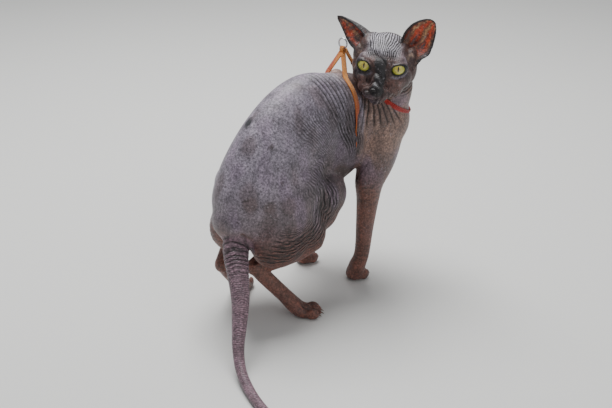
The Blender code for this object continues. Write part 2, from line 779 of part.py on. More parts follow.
def build():
    """Model the cat, part it and set it on the floor."""
    for old in list(bpy.data.objects):
        bpy.data.objects.remove(old, do_unlink=True)
    body = build_body()
    straps = harness(body)
    torso, neck = part_body(body)
    build_head(torso, neck, straps)
    parts = list(collection(CAT).objects)
    centre_on_floor(parts)
    for part in parts:
        paint(part)


build()
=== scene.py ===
"""A life-size sphynx cat that looks back over its shoulder in an orange walking harness.

Every shape is worked out in metres in the cat's design frame: x towards its right, y ahead,
z up, with the origin between its feet.  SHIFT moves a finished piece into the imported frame.
"""

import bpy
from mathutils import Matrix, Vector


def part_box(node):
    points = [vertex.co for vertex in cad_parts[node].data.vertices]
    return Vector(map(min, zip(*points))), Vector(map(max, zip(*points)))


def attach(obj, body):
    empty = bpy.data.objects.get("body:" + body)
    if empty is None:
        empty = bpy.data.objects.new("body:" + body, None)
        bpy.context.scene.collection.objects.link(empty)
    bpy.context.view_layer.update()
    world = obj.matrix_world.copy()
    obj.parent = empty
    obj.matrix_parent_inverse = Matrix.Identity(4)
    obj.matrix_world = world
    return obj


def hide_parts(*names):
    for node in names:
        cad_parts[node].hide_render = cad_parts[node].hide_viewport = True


bl_info = {
    "name": "Sphynx Cat",
    "version": (1, 0, 0),
    "blender": (4, 5, 0),
    "location": "View3D > Sidebar > Sphynx Cat",
    "description": "Builds the skin, eyes, claws and harness of a life-size sphynx cat",
    "category": "Add Mesh",
}

from math import cos, pi, radians, sin

import bpy
import numpy as np
from mathutils import Matrix, Vector

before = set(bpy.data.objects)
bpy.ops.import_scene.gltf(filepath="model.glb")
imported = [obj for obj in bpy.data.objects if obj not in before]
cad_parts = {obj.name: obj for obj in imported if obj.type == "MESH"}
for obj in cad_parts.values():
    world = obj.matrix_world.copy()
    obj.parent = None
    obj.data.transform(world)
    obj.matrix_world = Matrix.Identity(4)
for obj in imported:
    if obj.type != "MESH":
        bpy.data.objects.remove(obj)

# Places and sizes of the pose, in the design frame
HEAD_CENTRE = np.array((0.0587, 0.0844, 0.2825))
HEAD_YAW = radians(-63.0)
HEAD_ROLL = radians(3.5)
EYE_PLACE = (0.0192, 0.0185, 0.0040)
EYE_RADIUS = 0.0102
EYE_TILT = 14  # degrees
TOE_RADIUS = 0.0043
RING_PLACE = np.array((0.003, 0.0770, 0.3000))
RING_RADIUS = 0.0060
COLLAR_CENTRE = np.array((0.037, 0.1130, 0.2385))
COLLAR_AXIS = np.array((0.45, 0.38, 0.81))
NAPE = np.array((0.018, 0.102, 0.266))
CAMERA_PLACE = np.array((0.6805, -0.7989, 0.6))
SIDES = {"right": 1, "left": -1}
UP = np.array((0.0, 0.0, 1.0))

# The harness: the straps' top under the ring, the spacing of their rings of points, thickness,
# the narrow straps' width, how far from its centre each loop may lie, and the wires' radii
STRAP_PEAK = RING_PLACE - UP * (RING_RADIUS + 0.0022)
STRAP_STEP, STRAP_THICK, SLIM_WIDTH = 0.0015, 0.0017, 0.0058
GIRTH_REACH, COLLAR_REACH = 0.085, 0.042
RING_WIRE, SLIDER_WIRE, SLIDER_RADIUS = 0.0010, 0.0006, 0.0036

FLESH = ("torso", "neck", "head", "ear_right", "ear_left", "leg_front_right", "leg_front_left",
         "leg_hind_right", "leg_hind_left", "tail_base", "tail_middle", "tail_tip")


# The stage: camera, floor, lights and world
LENS, SENSOR = 55.706, 36.0
CAMERA_AIM = (-0.5835, 0.6954, -0.4195)
FLOOR_COLOUR, FLOOR_ROUGHNESS, FLOOR_REACH = (0.72, 0.72, 0.70), 0.8, 4
LIGHTS = (("key", (-0.55, 0.35, 1.9), 1.2, 56), ("fill", (1.9, -0.6, 1.3), 1.6, 9))
LIGHT_AIM = (0, 0, 0.15)
WORLD_COLOUR, WORLD_STRENGTH = (0.95, 0.97, 1.0, 1), 0.34


def unit(vectors):
    """The vector, or every row of vectors, at length one."""
    return vectors / np.linalg.norm(vectors, axis=-1, keepdims=True)


def between(one, two, share):
    """The place at a share of the way from one place to another."""
    return one + (two - one) * share


def head_axes():
    """The head's frame as columns: towards its right side, forward and up, rolled about forward."""
    forward = np.array((cos(HEAD_YAW), sin(HEAD_YAW), 0.0))
    right = np.array((sin(HEAD_YAW), -cos(HEAD_YAW), 0.0))
    level = np.stack([right, forward, np.cross(right, forward)], axis=1)
    return level @ np.array(Matrix.Rotation(-HEAD_ROLL, 3, "Y"))


HEAD = head_axes()


def on_head(place):
    """Points of the head's frame in the design frame: centre plus the turned place."""
    return HEAD_CENTRE + np.asarray(place, float) @ HEAD.T


def packed_shift():
    """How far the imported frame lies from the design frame, from the middle of the left eyeball."""
    low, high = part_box("eye_left")
    return (np.array(low) + np.array(high)) / 2 - on_head((-EYE_PLACE[0], EYE_PLACE[1], EYE_PLACE[2]))


SHIFT = packed_shift()


class CatSizes(bpy.types.PropertyGroup):
    """Sizes of the cat that a user would change."""
    skin_voxel: bpy.props.FloatProperty(
        name="Skin voxel", description="Cell of the grid that fuses the skin's forms",
        default=0.00085, min=0.0005, max=0.003, subtype="DISTANCE")
    skin_triangles: bpy.props.IntProperty(
        name="Skin triangles", description="Triangles that the skin keeps", default=185000)
    fold_depth: bpy.props.FloatProperty(
        name="Fold depth", description="Share of the full depth that every fold has",
        default=1.0, min=0.0, max=2.0)
    claw_length: bpy.props.FloatProperty(
        name="Claw length", description="Length of a claw outside its toe",
        default=0.0045, subtype="DISTANCE")
    strap_width: bpy.props.FloatProperty(
        name="Strap width", description="Width of the harness webbing", default=0.0074,
        subtype="DISTANCE")


class CatColours(bpy.types.PropertyGroup):
    """Colours of the cat and its harness, linear."""
    back: bpy.props.FloatVectorProperty(
        name="Back", description="Grey-mauve of the back", default=(0.205, 0.178, 0.218),
        subtype="COLOR", min=0, max=1)
    flank: bpy.props.FloatVectorProperty(
        name="Flank", description="Browner tone of flank and chest", default=(0.080, 0.046, 0.041),
        subtype="COLOR", min=0, max=1)
    leg: bpy.props.FloatVectorProperty(
        name="Leg", description="Reddish brown of the legs", default=(0.140, 0.054, 0.037),
        subtype="COLOR", min=0, max=1)
    tail: bpy.props.FloatVectorProperty(
        name="Tail", description="Purple brown of the tail", default=(0.225, 0.132, 0.168),
        subtype="COLOR", min=0, max=1)
    strap: bpy.props.FloatVectorProperty(
        name="Strap", description="Bright orange webbing", default=(0.92, 0.34, 0.05),
        subtype="COLOR", min=0, max=1)
    iris: bpy.props.FloatVectorProperty(
        name="Iris", description="Yellow-green of the iris", default=(0.74, 0.68, 0.12),
        subtype="COLOR", min=0, max=1)


def oval_tube(stations, across=(1, 0, 0), sides=24, steps=6):
    """A closed tube: ovals of a half width and half depth carried along a Catmull-Rom curve
    through the stations, each ring centre + side cos(a) width + up sin(a) depth, with domed ends."""
    path = rounded_ends(along(stations, steps))
    centres, width, depth = path[:, :3], path[:, 3], path[:, 4]
    tangent = unit(np.gradient(centres, axis=0))
    across = np.asarray(across, float)
    side = unit(across - tangent * (tangent @ across)[:, None])
    up = np.cross(side, tangent)
    a = 2 * pi * np.arange(sides) / sides
    rings = (centres[:, None] + side[:, None] * (np.cos(a) * width[:, None])[..., None]
             + up[:, None] * (np.sin(a) * depth[:, None])[..., None])
    return closed_rings(rings)


def grid_faces(rows, columns, loop_rows=False, loop_columns=True):
    """Quads between neighbours of a grid of points, row by row; each way may close on itself."""
    i, k = np.meshgrid(np.arange(rows if loop_rows else rows - 1),
                       np.arange(columns if loop_columns else columns - 1), indexing="ij")
    below, beside = (i + 1) % rows * columns, (k + 1) % columns
    corners = (i * columns + k, i * columns + beside, below + beside, below + k)
    return np.stack([corner.ravel() for corner in corners], axis=-1)


def turned_over(quads):
    """The same quads facing the other way."""
    return quads[:, [0, 3, 2, 1]]


def closed_rings(rings):
    """Points and faces of rings joined one to the next, with a point closing each end."""
    rows, sides = rings.shape[:2]
    points = np.vstack([rings.reshape(-1, 3), rings[0].mean(0), rings[-1].mean(0)])
    k = np.arange(sides)
    after, end, pole = (k + 1) % sides, (rows - 1) * sides, np.full(sides, rows * sides)
    first = np.stack([k, pole, after], axis=-1)
    last = np.stack([k + end, after + end, pole + 1], axis=-1)
    return points, grid_faces(rows, sides).tolist() + first.tolist() + last.tolist()


def along(stations, steps):
    """Rows of a Catmull-Rom curve through the stations, each a place and its sizes."""
    rows = np.array([[*place, *sizes] for place, *sizes in stations], float)
    padded = np.vstack([2 * rows[0] - rows[1], rows, 2 * rows[-1] - rows[-2]])
    a, b, c, d = (padded[k:len(padded) - 3 + k, None] for k in range(4))
    t = np.linspace(0, 1, steps, endpoint=False)[None, :, None]
    curve = 0.5 * (2 * b + (c - a) * t + (2 * a - 5 * b + 4 * c - d) * t ** 2
                   + (3 * b - a - 3 * c + d) * t ** 3)
    return np.vstack([curve.reshape(-1, rows.shape[1]), rows[-1]])


def rounded_ends(path):
    """The path with rows of a dome added beyond both ends: sizes fall as the root of 1 - a a."""
    a = np.array((0.35, 0.7, 0.95))[:, None]
    domes = []
    for end, inner in ((0, 1), (-1, -2)):
        out = unit(path[end, :3] - path[inner, :3]) * 0.8 * path[end, 3:5].min()
        domes.append(np.hstack([path[end, :3] + out * a, path[end, 3:5] * np.sqrt(1 - a * a)]))
    return np.vstack([domes[0][::-1], path, domes[1]])


def ball(centre, radii, turn=None, segments=28):
    """An ellipsoid: centre + turn (rx cos u cos v, ry sin u cos v, rz sin v)."""
    u = 2 * pi * np.arange(segments) / segments
    v = np.linspace(-pi / 2, pi / 2, segments // 2 + 1)[1:-1]
    u, v = np.meshgrid(u, v)
    shape = np.stack([np.cos(u) * np.cos(v), np.sin(u) * np.cos(v), np.sin(v)], axis=-1)
    rings = shape * np.asarray(radii, float)
    points, faces = closed_rings(rings)
    points[-2:] = [(0, 0, -radii[2]), (0, 0, radii[2])]
    if turn is not None:
        points = points @ np.asarray(turn).T
    return points + np.asarray(centre, float), faces


def head_ball(centre, radii, yaw=0.0, roll=0.0, segments=28):
    """A ball of the head: its turn is yaw, then roll in the head's frame, in degrees."""
    turn = Matrix.Rotation(radians(yaw), 3, "Z") @ Matrix.Rotation(radians(roll), 3, "Y")
    return ball(on_head(centre), radii, HEAD @ np.array(turn), segments)


def trunk_forms():
    """The arched trunk from the rump to the chest, with flanks and a hanging belly."""
    w = 0.056
    spine = [
        ((0.000, -0.108, 0.128), 0.60 * w, 0.030), ((0.000, -0.094, 0.143), 0.78 * w, 0.044),
        ((0.000, -0.068, 0.166), 0.84 * w, 0.057), ((0.002, -0.036, 0.190), 0.78 * w, 0.069),
        ((0.005, -0.002, 0.204), 0.76 * w, 0.075), ((0.007, 0.036, 0.204), 0.76 * w, 0.070),
        ((0.012, 0.072, 0.206), 0.72 * w, 0.062), ((0.023, 0.099, 0.206), 0.60 * w, 0.050),
    ]
    forms = [
        oval_tube(spine),
        ball((0.006, 0.040, 0.190), (0.90 * w, 0.052, 0.054)),
        ball((0.001, -0.046, 0.152), (1.04 * w, 0.062, 0.050)),
        ball((0.010, -0.003, 0.135), (0.92 * w, 0.052, 0.038)),
        ball((0.036, -0.012, 0.118), (0.022, 0.034, 0.024)),
        ball((0.035, 0.115, 0.204), (0.037, 0.036, 0.040)),
    ]
    return forms + [ball((side * 0.032, -0.071, 0.109), (0.029, 0.044, 0.037)) for side in (1, -1)]


NECK_STATIONS = [
    ((0.026, 0.098, 0.216), 0.037, 0.043), ((0.037, 0.114, 0.233), 0.034, 0.036),
    ((0.044, 0.114, 0.250), 0.031, 0.031), ((0.050, 0.101, 0.266), 0.028, 0.028),
]

# Front legs: elbow, wrist and middle of the paw
FRONT_JOINTS = {
    "right": ((0.051, 0.074, 0.138), (0.0495, 0.0635, 0.040), (0.0415, 0.0595, 0.010)),
    "left": ((-0.045, 0.066, 0.138), (-0.0395, 0.0500, 0.040), (-0.0370, 0.0520, 0.010)),
}
# Hind legs: knee, hock, ball of the foot and tip of the toes
HIND_JOINTS = {
    "right": ((0.044, -0.030, 0.098), (0.013, -0.097, 0.073),
              (0.044, -0.055, 0.0105), (0.066, -0.037, 0.0)),
    "left": ((-0.042, -0.038, 0.096), (-0.034, -0.102, 0.062),
             (-0.049, -0.058, 0.0105), (-0.060, -0.036, 0.0)),
}


def toe_places(tip, run, spread):
    """Middles of four toes side by side behind the tip, the outer two set back."""
    over = np.cross(run, UP)
    k = np.arange(4)
    back = 2 * TOE_RADIUS + np.where((k == 0) | (k == 3), 0.0026, 0.0)
    places = tip - run * back[:, None] + over * ((k - 1.5) * spread)[:, None]
    places[:, 2] = 1.60 * TOE_RADIUS
    return places


def feet():
    """Each foot's tip, forward direction and toe spread, front feet first."""
    rows = {}
    for name in SIDES:
        paw = np.array(FRONT_JOINTS[name][2])
        rows["front_" + name] = (np.array((paw[0], paw[1] + 0.020, 0)), np.array((0, 1.0, 0)), 0.0066)
        root, tip = np.array(HIND_JOINTS[name][2]), np.array(HIND_JOINTS[name][3])
        rows["hind_" + name] = (tip, unit((tip - root) * (1, 1, 0)), 0.0062)
    return rows


def toe_forms():
    """A ball for every toe, longer than it is wide."""
    forms = []
    for tip, run, spread in feet().values():
        turn = np.stack([np.cross(run, UP), run, UP], axis=1)
        radii = (TOE_RADIUS, 2 * TOE_RADIUS, 1.65 * TOE_RADIUS)
        forms += [ball(place, radii, turn, 20) for place in toe_places(tip, run, spread)]
    return forms


def front_leg_forms(name):
    """A front leg: shoulder blade, upper arm, forearm, wrist and paw."""
    side, f, w, shift = SIDES[name], 0.0110, 0.0095, 0.009
    elbow, wrist, paw = (np.array(place) for place in FRONT_JOINTS[name])
    limb = [
        ((side * 0.020 + shift, 0.072, 0.245), 0.014, 0.026),
        ((side * 0.034 + shift, 0.091, 0.225), 0.020, 0.030),
        ((side * 0.039 + shift, 0.102, 0.195), 0.021, 0.032),
        ((side * 0.041 + shift, 0.092, 0.165), 0.019, 0.031),
        (elbow, 0.0170, 0.0230), (between(elbow, wrist, 0.22), 1.30 * f, 1.50 * f),
        (between(elbow, wrist, 0.60), f, 1.15 * f), (wrist, w, 1.05 * w),
        (between(wrist, paw, 0.65), 1.12 * w, 1.2 * w), (paw, 1.25 * w, 1.0 * w),
    ]
    return [oval_tube(limb, steps=5), ball((paw[0], paw[1] + 0.002, 0.008), (0.0125, 0.0130, 0.0085))]


def hind_leg_forms(name):
    """A folded hind leg: thigh, shank, raised hock and long foot."""
    side = SIDES[name]
    hip = np.array((side * 0.030, -0.074, 0.160))
    knee, hock, root, tip = (np.array(place) for place in HIND_JOINTS[name])
    thigh = [
        (hip + (0, -0.006, 0.014), 0.018, 0.028), (between(hip, knee, 0.30), 0.025, 0.040),
        (between(hip, knee, 0.65), 0.024, 0.034), (knee, 0.018, 0.021),
    ]
    shank = [
        (knee, 0.0170, 0.0190), (between(knee, hock, 0.35), 0.0170, 0.0200),
        (between(knee, hock, 0.72), 0.0135, 0.0155), (hock, 0.0088, 0.0105),
    ]
    foot = [
        (hock + (0, -0.002, 0.003), 0.0080, 0.0085), (between(hock, root, 0.25), 0.0085, 0.0095),
        (between(hock, root, 0.65), 0.0092, 0.0090), (root, 0.0125, 0.0095),
        (between(root, tip, 0.40), 0.0125, 0.0080),
    ]
    run = feet()["hind_" + name][1]
    return [
        oval_tube(thigh, across=(1, 0.3 * side, 0)), oval_tube(shank, across=(1, 0, 0.3)),
        oval_tube(foot, across=np.cross(run, UP), steps=5), ball(hock, (0.0092, 0.0100, 0.0100)),
    ]


TAIL_ROUTE = [
    ((0.000, -0.096, 0.126), 0.01620), ((0.006, -0.115, 0.116), 0.01590),
    ((0.016, -0.129, 0.104), 0.01455), ((0.029, -0.140, 0.087), 0.01230),
    ((0.043, -0.152, 0.065), 0.01035), ((0.054, -0.166, 0.043), 0.00855),
    ((0.065, -0.180, 0.025), 0.00690), ((0.083, -0.195, 0.0115), 0.00600),
    ((0.110, -0.210, 0.0058), 0.00570), ((0.138, -0.222, 0.0050), 0.00510),
    ((0.166, -0.229, 0.0042), 0.00420), ((0.192, -0.230, 0.0030), 0.00285),
]
TAIL_LINE = [place for place, _ in TAIL_ROUTE]


def head_forms():
    """The wedge head in millimetres: skull, cheeks, brows, bridge, short muzzle and chin."""
    bridge = [((0, 4, 17), 16, 11), ((0, 15.5, 12), 13, 9), ((0, 21.8, 6), 11, 8),
              ((0, 26.1, 1.5), 9.5, 7), ((0, 30.6, -4.5), 8.5, 7), ((0, 36, -10.2), 8.2, 6.5),
              ((0, 42, -15.3), 7.8, 5.0)]
    forms = [oval_tube([(on_head(np.array(place) / 1000), wide / 1000, deep / 1000)
                        for place, wide, deep in bridge], across=HEAD[:, 0])]
    single = [
        ((0, -11, 6), (31, 36, 29)), ((0, 8, -3), (28.5, 26, 26)),
        ((0, 33, -22.5), (16.5, 14.5, 10.5)), ((0, 45.8, -17.5), (8.8, 4.2, 5.0)),
        ((0, 33, -31.5), (9.5, 9.5, 7)), ((0, 10, -23), (20, 26, 12.5)),
        ((0, 3, 12), (25, 23, 17)), ((17, -9, 24), (13, 20, 10)),
    ]
    lid = 1000 * EYE_RADIUS + 1.2
    paired = [
        ((23.5, 9, -9), (11, 16, 14)), ((15, 18, -20), (12, 15, 11)),
        ((16, 15, 11), (12, 8.5, 8)), ((8.2, 37, -22.5), (9.6, 9.8, 7.4)),
        ((30, -9, 8), (9, 14, 15)), ((30, -6, -4), (8.5, 14, 16)),
        ((17, 20, -10), (11.5, 11, 8.5)), ((20, 13, 2), (10, 11, 12)),
        (tuple(1000 * v for v in EYE_PLACE), (lid, lid, lid)),
    ]
    for side in SIDES.values():
        single += [((side * x, y, z), radii) for (x, y, z), radii in paired]
    return forms + [head_ball(np.array(place) / 1000, np.array(radii) / 1000)
                    for place, radii in single]


# Edges of the ears in millimetres of the head's frame, from the base to the tip:
# the edge towards the crown and the edge towards the cheek, and the depth of the cup
EAR_EDGES = {
    "right": (
        ((15, -4, 14), (21, -1, 21), (26, -4, 29), (35, -9, 36), (47, -14, 42), (65, -18, 49)),
        ((30, 4, 4), (36, -1, 12), (43, -6, 16), (49, -11, 22), (56, -15, 33), (66, -18, 48))),
    "left": (
        ((-12, -4, 20), (-17, -1, 31), (-20, -6, 41), (-28, -12, 50), (-41, -17, 55), (-51, -19, 54)),
        ((-36, 4, 0), (-43, 0, 11), (-51, -5, 17), (-54, -10, 29), (-55, -14, 42), (-53, -19, 52))),
}
EAR_BOW = {"right": (-0.60, -0.58, 0.55), "left": (0.10, -0.98, 0.12)}
EAR_DEPTH = {"right": 0.0175, "left": 0.015}
EAR_SKEW = {"right": 0.45, "left": 0.85}
EAR_WALL = 0.0018


def ear_surface(name, rise, over):
    """Points of the ear's middle sheet: an arc between the two edge curves at each rise,
    bowed backwards by depth (1 - rise) (1 - (2 over^skew - 1)^2), in the design frame."""
    edges = []
    for row in EAR_EDGES[name]:
        curve = along([(np.array(place) / 1000,) for place in row], 12)
        at = np.clip(rise, 0, 1) * (len(curve) - 1)
        low = np.minimum(at.astype(int), len(curve) - 2)
        share = (at - low)[..., None]
        edges.append(curve[low] * (1 - share) + curve[low + 1] * share)
    bow = unit(np.array(EAR_BOW[name]))
    depth = EAR_DEPTH[name] * (1 - rise) ** 0.8 * (1 - (2 * over ** EAR_SKEW[name] - 1) ** 2) ** 0.9
    inside = edges[0] * (1 - over[..., None]) + edges[1] * over[..., None]
    return on_head(inside + bow * depth[..., None])


def ear_form(name, rows=40, columns=36):
    """The ear as a thick leaf: its middle sheet moved both ways along the normal and closed."""
    rise, over = np.meshgrid(np.linspace(0, 1, rows), np.linspace(0, 1, columns), indexing="ij")
    sheet = ear_surface(name, rise, over)
    normal = np.cross(np.gradient(sheet, axis=0), np.gradient(sheet, axis=1))
    normal /= np.maximum(np.linalg.norm(normal, axis=-1, keepdims=True), 1e-9)
    front, back = sheet + normal * EAR_WALL / 2, sheet - normal * EAR_WALL / 2
    points = np.vstack([front.reshape(-1, 3), back.reshape(-1, 3)])
    quads = grid_faces(rows, columns, loop_columns=False)
    far = rows * columns
    border = np.r_[np.arange(columns), np.arange(2, rows) * columns - 1,
                   np.arange(rows * columns - 1, (rows - 1) * columns - 1, -1),
                   np.arange(rows - 2, 0, -1) * columns]
    after = np.roll(border, -1)
    rim = np.stack([border, border + far, after + far, after], axis=-1)
    return points, quads.tolist() + (quads[:, ::-1] + far).tolist() + rim.tolist()


def mesh_piece(name, points, faces):
    """An object of the scene from points and faces in the design frame."""
    mesh = bpy.data.meshes.new(name)
    mesh.from_pydata(np.asarray(points), [], faces)
    mesh.validate()
    mesh.update()
    mesh.shade_smooth()
    piece = bpy.data.objects.new(name, mesh)
    bpy.context.scene.collection.objects.link(piece)
    return piece


def joined(forms):
    """One list of points and one of faces for several forms."""
    points, faces, start = [], [], 0
    for form_points, form_faces in forms:
        points.append(form_points)
        faces += [[start + v for v in face] for face in form_faces]
        start += len(form_points)
    return np.vstack(points), faces


def applied(piece):
    """The piece with its modifiers made part of its mesh."""
    graph = bpy.context.evaluated_depsgraph_get()
    old = piece.data
    made = bpy.data.meshes.new_from_object(piece.evaluated_get(graph))
    piece.modifiers.clear()
    piece.data = made
    bpy.data.meshes.remove(old)
    return piece


def coordinates(mesh):
    """The mesh's points as an array."""
    points = np.empty(len(mesh.vertices) * 3, np.float32)
    mesh.vertices.foreach_get("co", points)
    return points.reshape(-1, 3).astype(float)


def directions(mesh):
    """The directions that the mesh's surface faces at its points."""
    normals = np.empty(len(mesh.vertices) * 3, np.float32)
    mesh.vertex_normals.foreach_get("vector", normals)
    return normals.reshape(-1, 3).astype(float)


def set_coordinates(mesh, points):
    """Write the points back into the mesh."""
    mesh.vertices.foreach_set("co", points.astype(np.float32).ravel())
    mesh.update()


def relaxed(piece, weight, rounds):
    """Each point moves halfway to the middle of its neighbours, by its weight, in each round."""
    group = piece.vertex_groups.new(name="soft")
    levels = 24
    level = np.ceil(np.clip(weight, 0, 1) * levels).astype(int)
    for k in range(1, levels + 1):
        group.add(np.flatnonzero(level == k).tolist(), k / levels, "REPLACE")
    smooth = piece.modifiers.new("smooth", "SMOOTH")
    smooth.iterations = rounds
    smooth.factor = 0.5
    smooth.vertex_group = "soft"
    applied(piece)
    piece.vertex_groups.clear()
    return piece


def step(value, low, high):
    """A smooth step from 0 at low to 1 at high: t t (3 - 2 t)."""
    t = np.clip((value - low) / (high - low), 0, 1)
    return t * t * (3 - 2 * t)


def near(points, centre, radius):
    """A bell of the distance from a place: exp(-(d / radius)^2)."""
    gap = points - np.asarray(centre, float)
    return np.exp(-np.einsum("ij,ij->i", gap, gap) / radius ** 2)


def path_reach(points, route):
    """For each point, its distance from a polyline and the share of the line's length there."""
    route = np.asarray(route, float)
    start, run = route[:-1], np.diff(route, axis=0)
    length = np.linalg.norm(run, axis=1)
    passed = np.r_[0, np.cumsum(length)]
    best, share = np.full(len(points), 1e9), np.zeros(len(points))
    for k in range(len(run)):
        gap = points - start[k]
        t = np.clip(gap @ run[k] / length[k] ** 2, 0, 1)
        away = np.linalg.norm(gap - t[:, None] * run[k], axis=1)
        closer = away < best
        best = np.where(closer, away, best)
        share = np.where(closer, passed[k] + t * length[k], share)
    return best, share


def wavy(points, size, seed):
    """Smooth unevenness between -1 and 1: four sines along fixed slanted directions."""
    draw = np.random.default_rng(seed)
    total = np.zeros(len(points))
    for _ in range(4):
        direction = unit(draw.normal(size=3))
        turns = points @ direction * 2 * pi / size * draw.uniform(0.7, 1.5)
        total += np.sin(turns + draw.uniform(0, 6.28))
    return total / 4


def softness(points):
    """How far fusing smooths each point: fully on the trunk, little on head, toes and tail."""
    trunk = np.clip((points[:, 2] - 0.085) / 0.045, 0, 1)
    behind = np.clip((points[:, 1] + 0.135) / 0.020, 0, 1)
    weight = 0.10 + 0.90 * trunk * behind
    weight = np.minimum(weight, 0.05 + np.clip((points[:, 2] - 0.012) / 0.05, 0, 1))
    head = (points - HEAD_CENTRE) @ HEAD
    gap = np.linalg.norm((head - (0, 0, 0.004)) / (0.043, 0.056, 0.044), axis=1)
    on = step(gap, 1.35, 1.0)
    face = step(head[:, 1], 0.012, 0.024)
    ears = step(head[:, 2], 0.018, 0.030) + step(np.abs(head[:, 0]), 0.036, 0.042)
    tip = near(head, (0, 0.048, -0.019), 0.010)
    fine = 0.085 + 0.065 * face - 0.075 * tip - 0.06 * np.clip(ears, 0, 1)
    wide = np.linalg.norm((head - (0, -0.01, 0.02)) / (0.075, 0.05, 0.05), axis=1)
    on = np.maximum(on, step(wide, 1.1, 0.95) * step(points[:, 2], 0.270, 0.290))
    return weight * (1 - on) + fine * on


def carve(piece, form):
    """Cut a closed form out of the piece."""
    cutter = mesh_piece("cutter", *form)
    cut = piece.modifiers.new("cut", "BOOLEAN")
    cut.operation = "DIFFERENCE"
    cut.solver = "MANIFOLD"
    cut.object = cutter
    applied(piece)
    mesh = cutter.data
    bpy.data.objects.remove(cutter)
    bpy.data.meshes.remove(mesh)
    return piece


def eye_openings(piece):
    """Room for the eyeballs and an almond opening between the lids in front of each."""
    room = EYE_RADIUS + 0.0003
    for side in SIDES.values():
        place = np.array((side * EYE_PLACE[0], EYE_PLACE[1], EYE_PLACE[2]))
        carve(piece, head_ball(place, (room, room, room), segments=40))
        ahead = place + (side * 0.0018, 0.0125, -0.0002)
        almond = head_ball(ahead, (0.0086, 0.0110, 0.0058), yaw=-side * 9, roll=-side * EYE_TILT,
                           segments=40)
        carve(piece, almond)
    return piece


def fused_skin(voxel):
    """All fleshy forms fused on a grid into one closed surface and smoothed."""
    forms = trunk_forms() + [oval_tube(NECK_STATIONS)] + toe_forms() + head_forms()
    for name in SIDES:
        forms += front_leg_forms(name) + hind_leg_forms(name) + [ear_form(name)]
    forms.append(oval_tube([(place, r, r) for place, r in TAIL_ROUTE], sides=24))
    skin = mesh_piece("skin", *joined(forms))
    grid = skin.modifiers.new("fuse", "REMESH")
    grid.mode = "VOXEL"
    grid.voxel_size = voxel
    applied(skin)
    rounds = round(45 * (0.0021 / voxel) ** 2)
    relaxed(skin, softness(coordinates(skin.data)), rounds)
    points = coordinates(skin.data)
    points[:, 2] = np.maximum(points[:, 2], 0.0)
    set_coordinates(skin.data, points)
    return skin


def in_head(points):
    """Points of the design frame in the head's own frame, in millimetres."""
    return (points - HEAD_CENTRE) @ HEAD * 1000


def mirrored(head):
    """Points of the head's frame brought to its right side."""
    return np.column_stack([np.abs(head[:, 0]), head[:, 1:]])


def lid_reading(here):
    """For mirrored points of the head, the distance from the opening's middle, 1 at the edge of
    an ellipse of 8.8 by 6.0 mm tilted like the lids, and the height above its long axis."""
    gap = here - (np.array(EYE_PLACE) * 1000 + (1.8, 0, -0.2))
    tilt = radians(EYE_TILT)
    across = gap[:, 0] * cos(tilt) + gap[:, 2] * sin(tilt)
    rise = gap[:, 2] * cos(tilt) - gap[:, 0] * sin(tilt)
    return np.hypot(across / 8.8, rise / 6.0), rise


def thigh_reading(points):
    """Distance from the middle of the loose skin ahead of the thigh, where rings are ellipses
    1.3 times as long as high, and the angle round it in degrees."""
    ahead, below = points[:, 1] + 0.080, 0.150 - points[:, 2]
    return np.hypot(ahead / 1.3, below), np.degrees(np.arctan2(ahead, below))


def band(value, low, high, soft):
    """1 between low and high, falling smoothly to 0 over soft on both sides."""
    return step(value, low - soft, low) * (1 - step(value, high, high + soft))


def pleats(phase):
    """Broad ridges with narrow valleys once every whole phase: the root of |sin(pi phase)|."""
    return np.sqrt(np.abs(np.sin(pi * phase)))


def rib_fan(points):
    """Angle in degrees behind the girth strap of the plane through the armpit and a point."""
    return np.degrees(np.arctan2(0.045 - points[:, 1], np.maximum(points[:, 2] - 0.140, 0.004)))


# Single creases along paths of the design frame: points, depth, half width, darkness of the painted shade
# in them
CREASES = (
    (((0.0470, 0.0465, 0.238), (0.0497, 0.0459, 0.2222), (0.0552, 0.0410, 0.200),
      (0.0535, 0.0447, 0.1728), (0.0440, 0.0564, 0.1429)), 0.0034, 0.0026, 1.0),
    (((0.0240, -0.1252, 0.1275), (0.0254, -0.1207, 0.1137), (0.0184, -0.0993, 0.0822)),
     0.0016, 0.0022, 0.9),
    (((0.0602, -0.0420, 0.0850), (0.0610, -0.0600, 0.0800), (0.0560, -0.0800, 0.0820)),
     0.0012, 0.0022, 0.6),
)
# Ridge of loose skin that lies in front of the girth strap, in the design frame
SHOULDER_RIDGE = ((0.0230, 0.0720, 0.266), (0.0370, 0.0640, 0.255), (0.0460, 0.0590, 0.240),
                  (0.0510, 0.0570, 0.224), (0.0550, 0.0545, 0.206), (0.0560, 0.0520, 0.186))
GIRTH_CENTRE = np.array((0.008, 0.0490, 0.2000))
GIRTH_LEAN = 0.12


def girth_shift(height):
    """How far behind its plane the girth strap runs at a height: it slides into the armpit."""
    return 0.0035 * (1 - step(height, 0.205, 0.250))


def ahead_of_girth(points):
    """Distance of each point in front of the strap's plane."""
    gap = points - GIRTH_CENTRE
    across = gap[:, 1] + girth_shift(points[:, 2]) - GIRTH_LEAN * gap[:, 2]
    return across / np.hypot(1, GIRTH_LEAN)


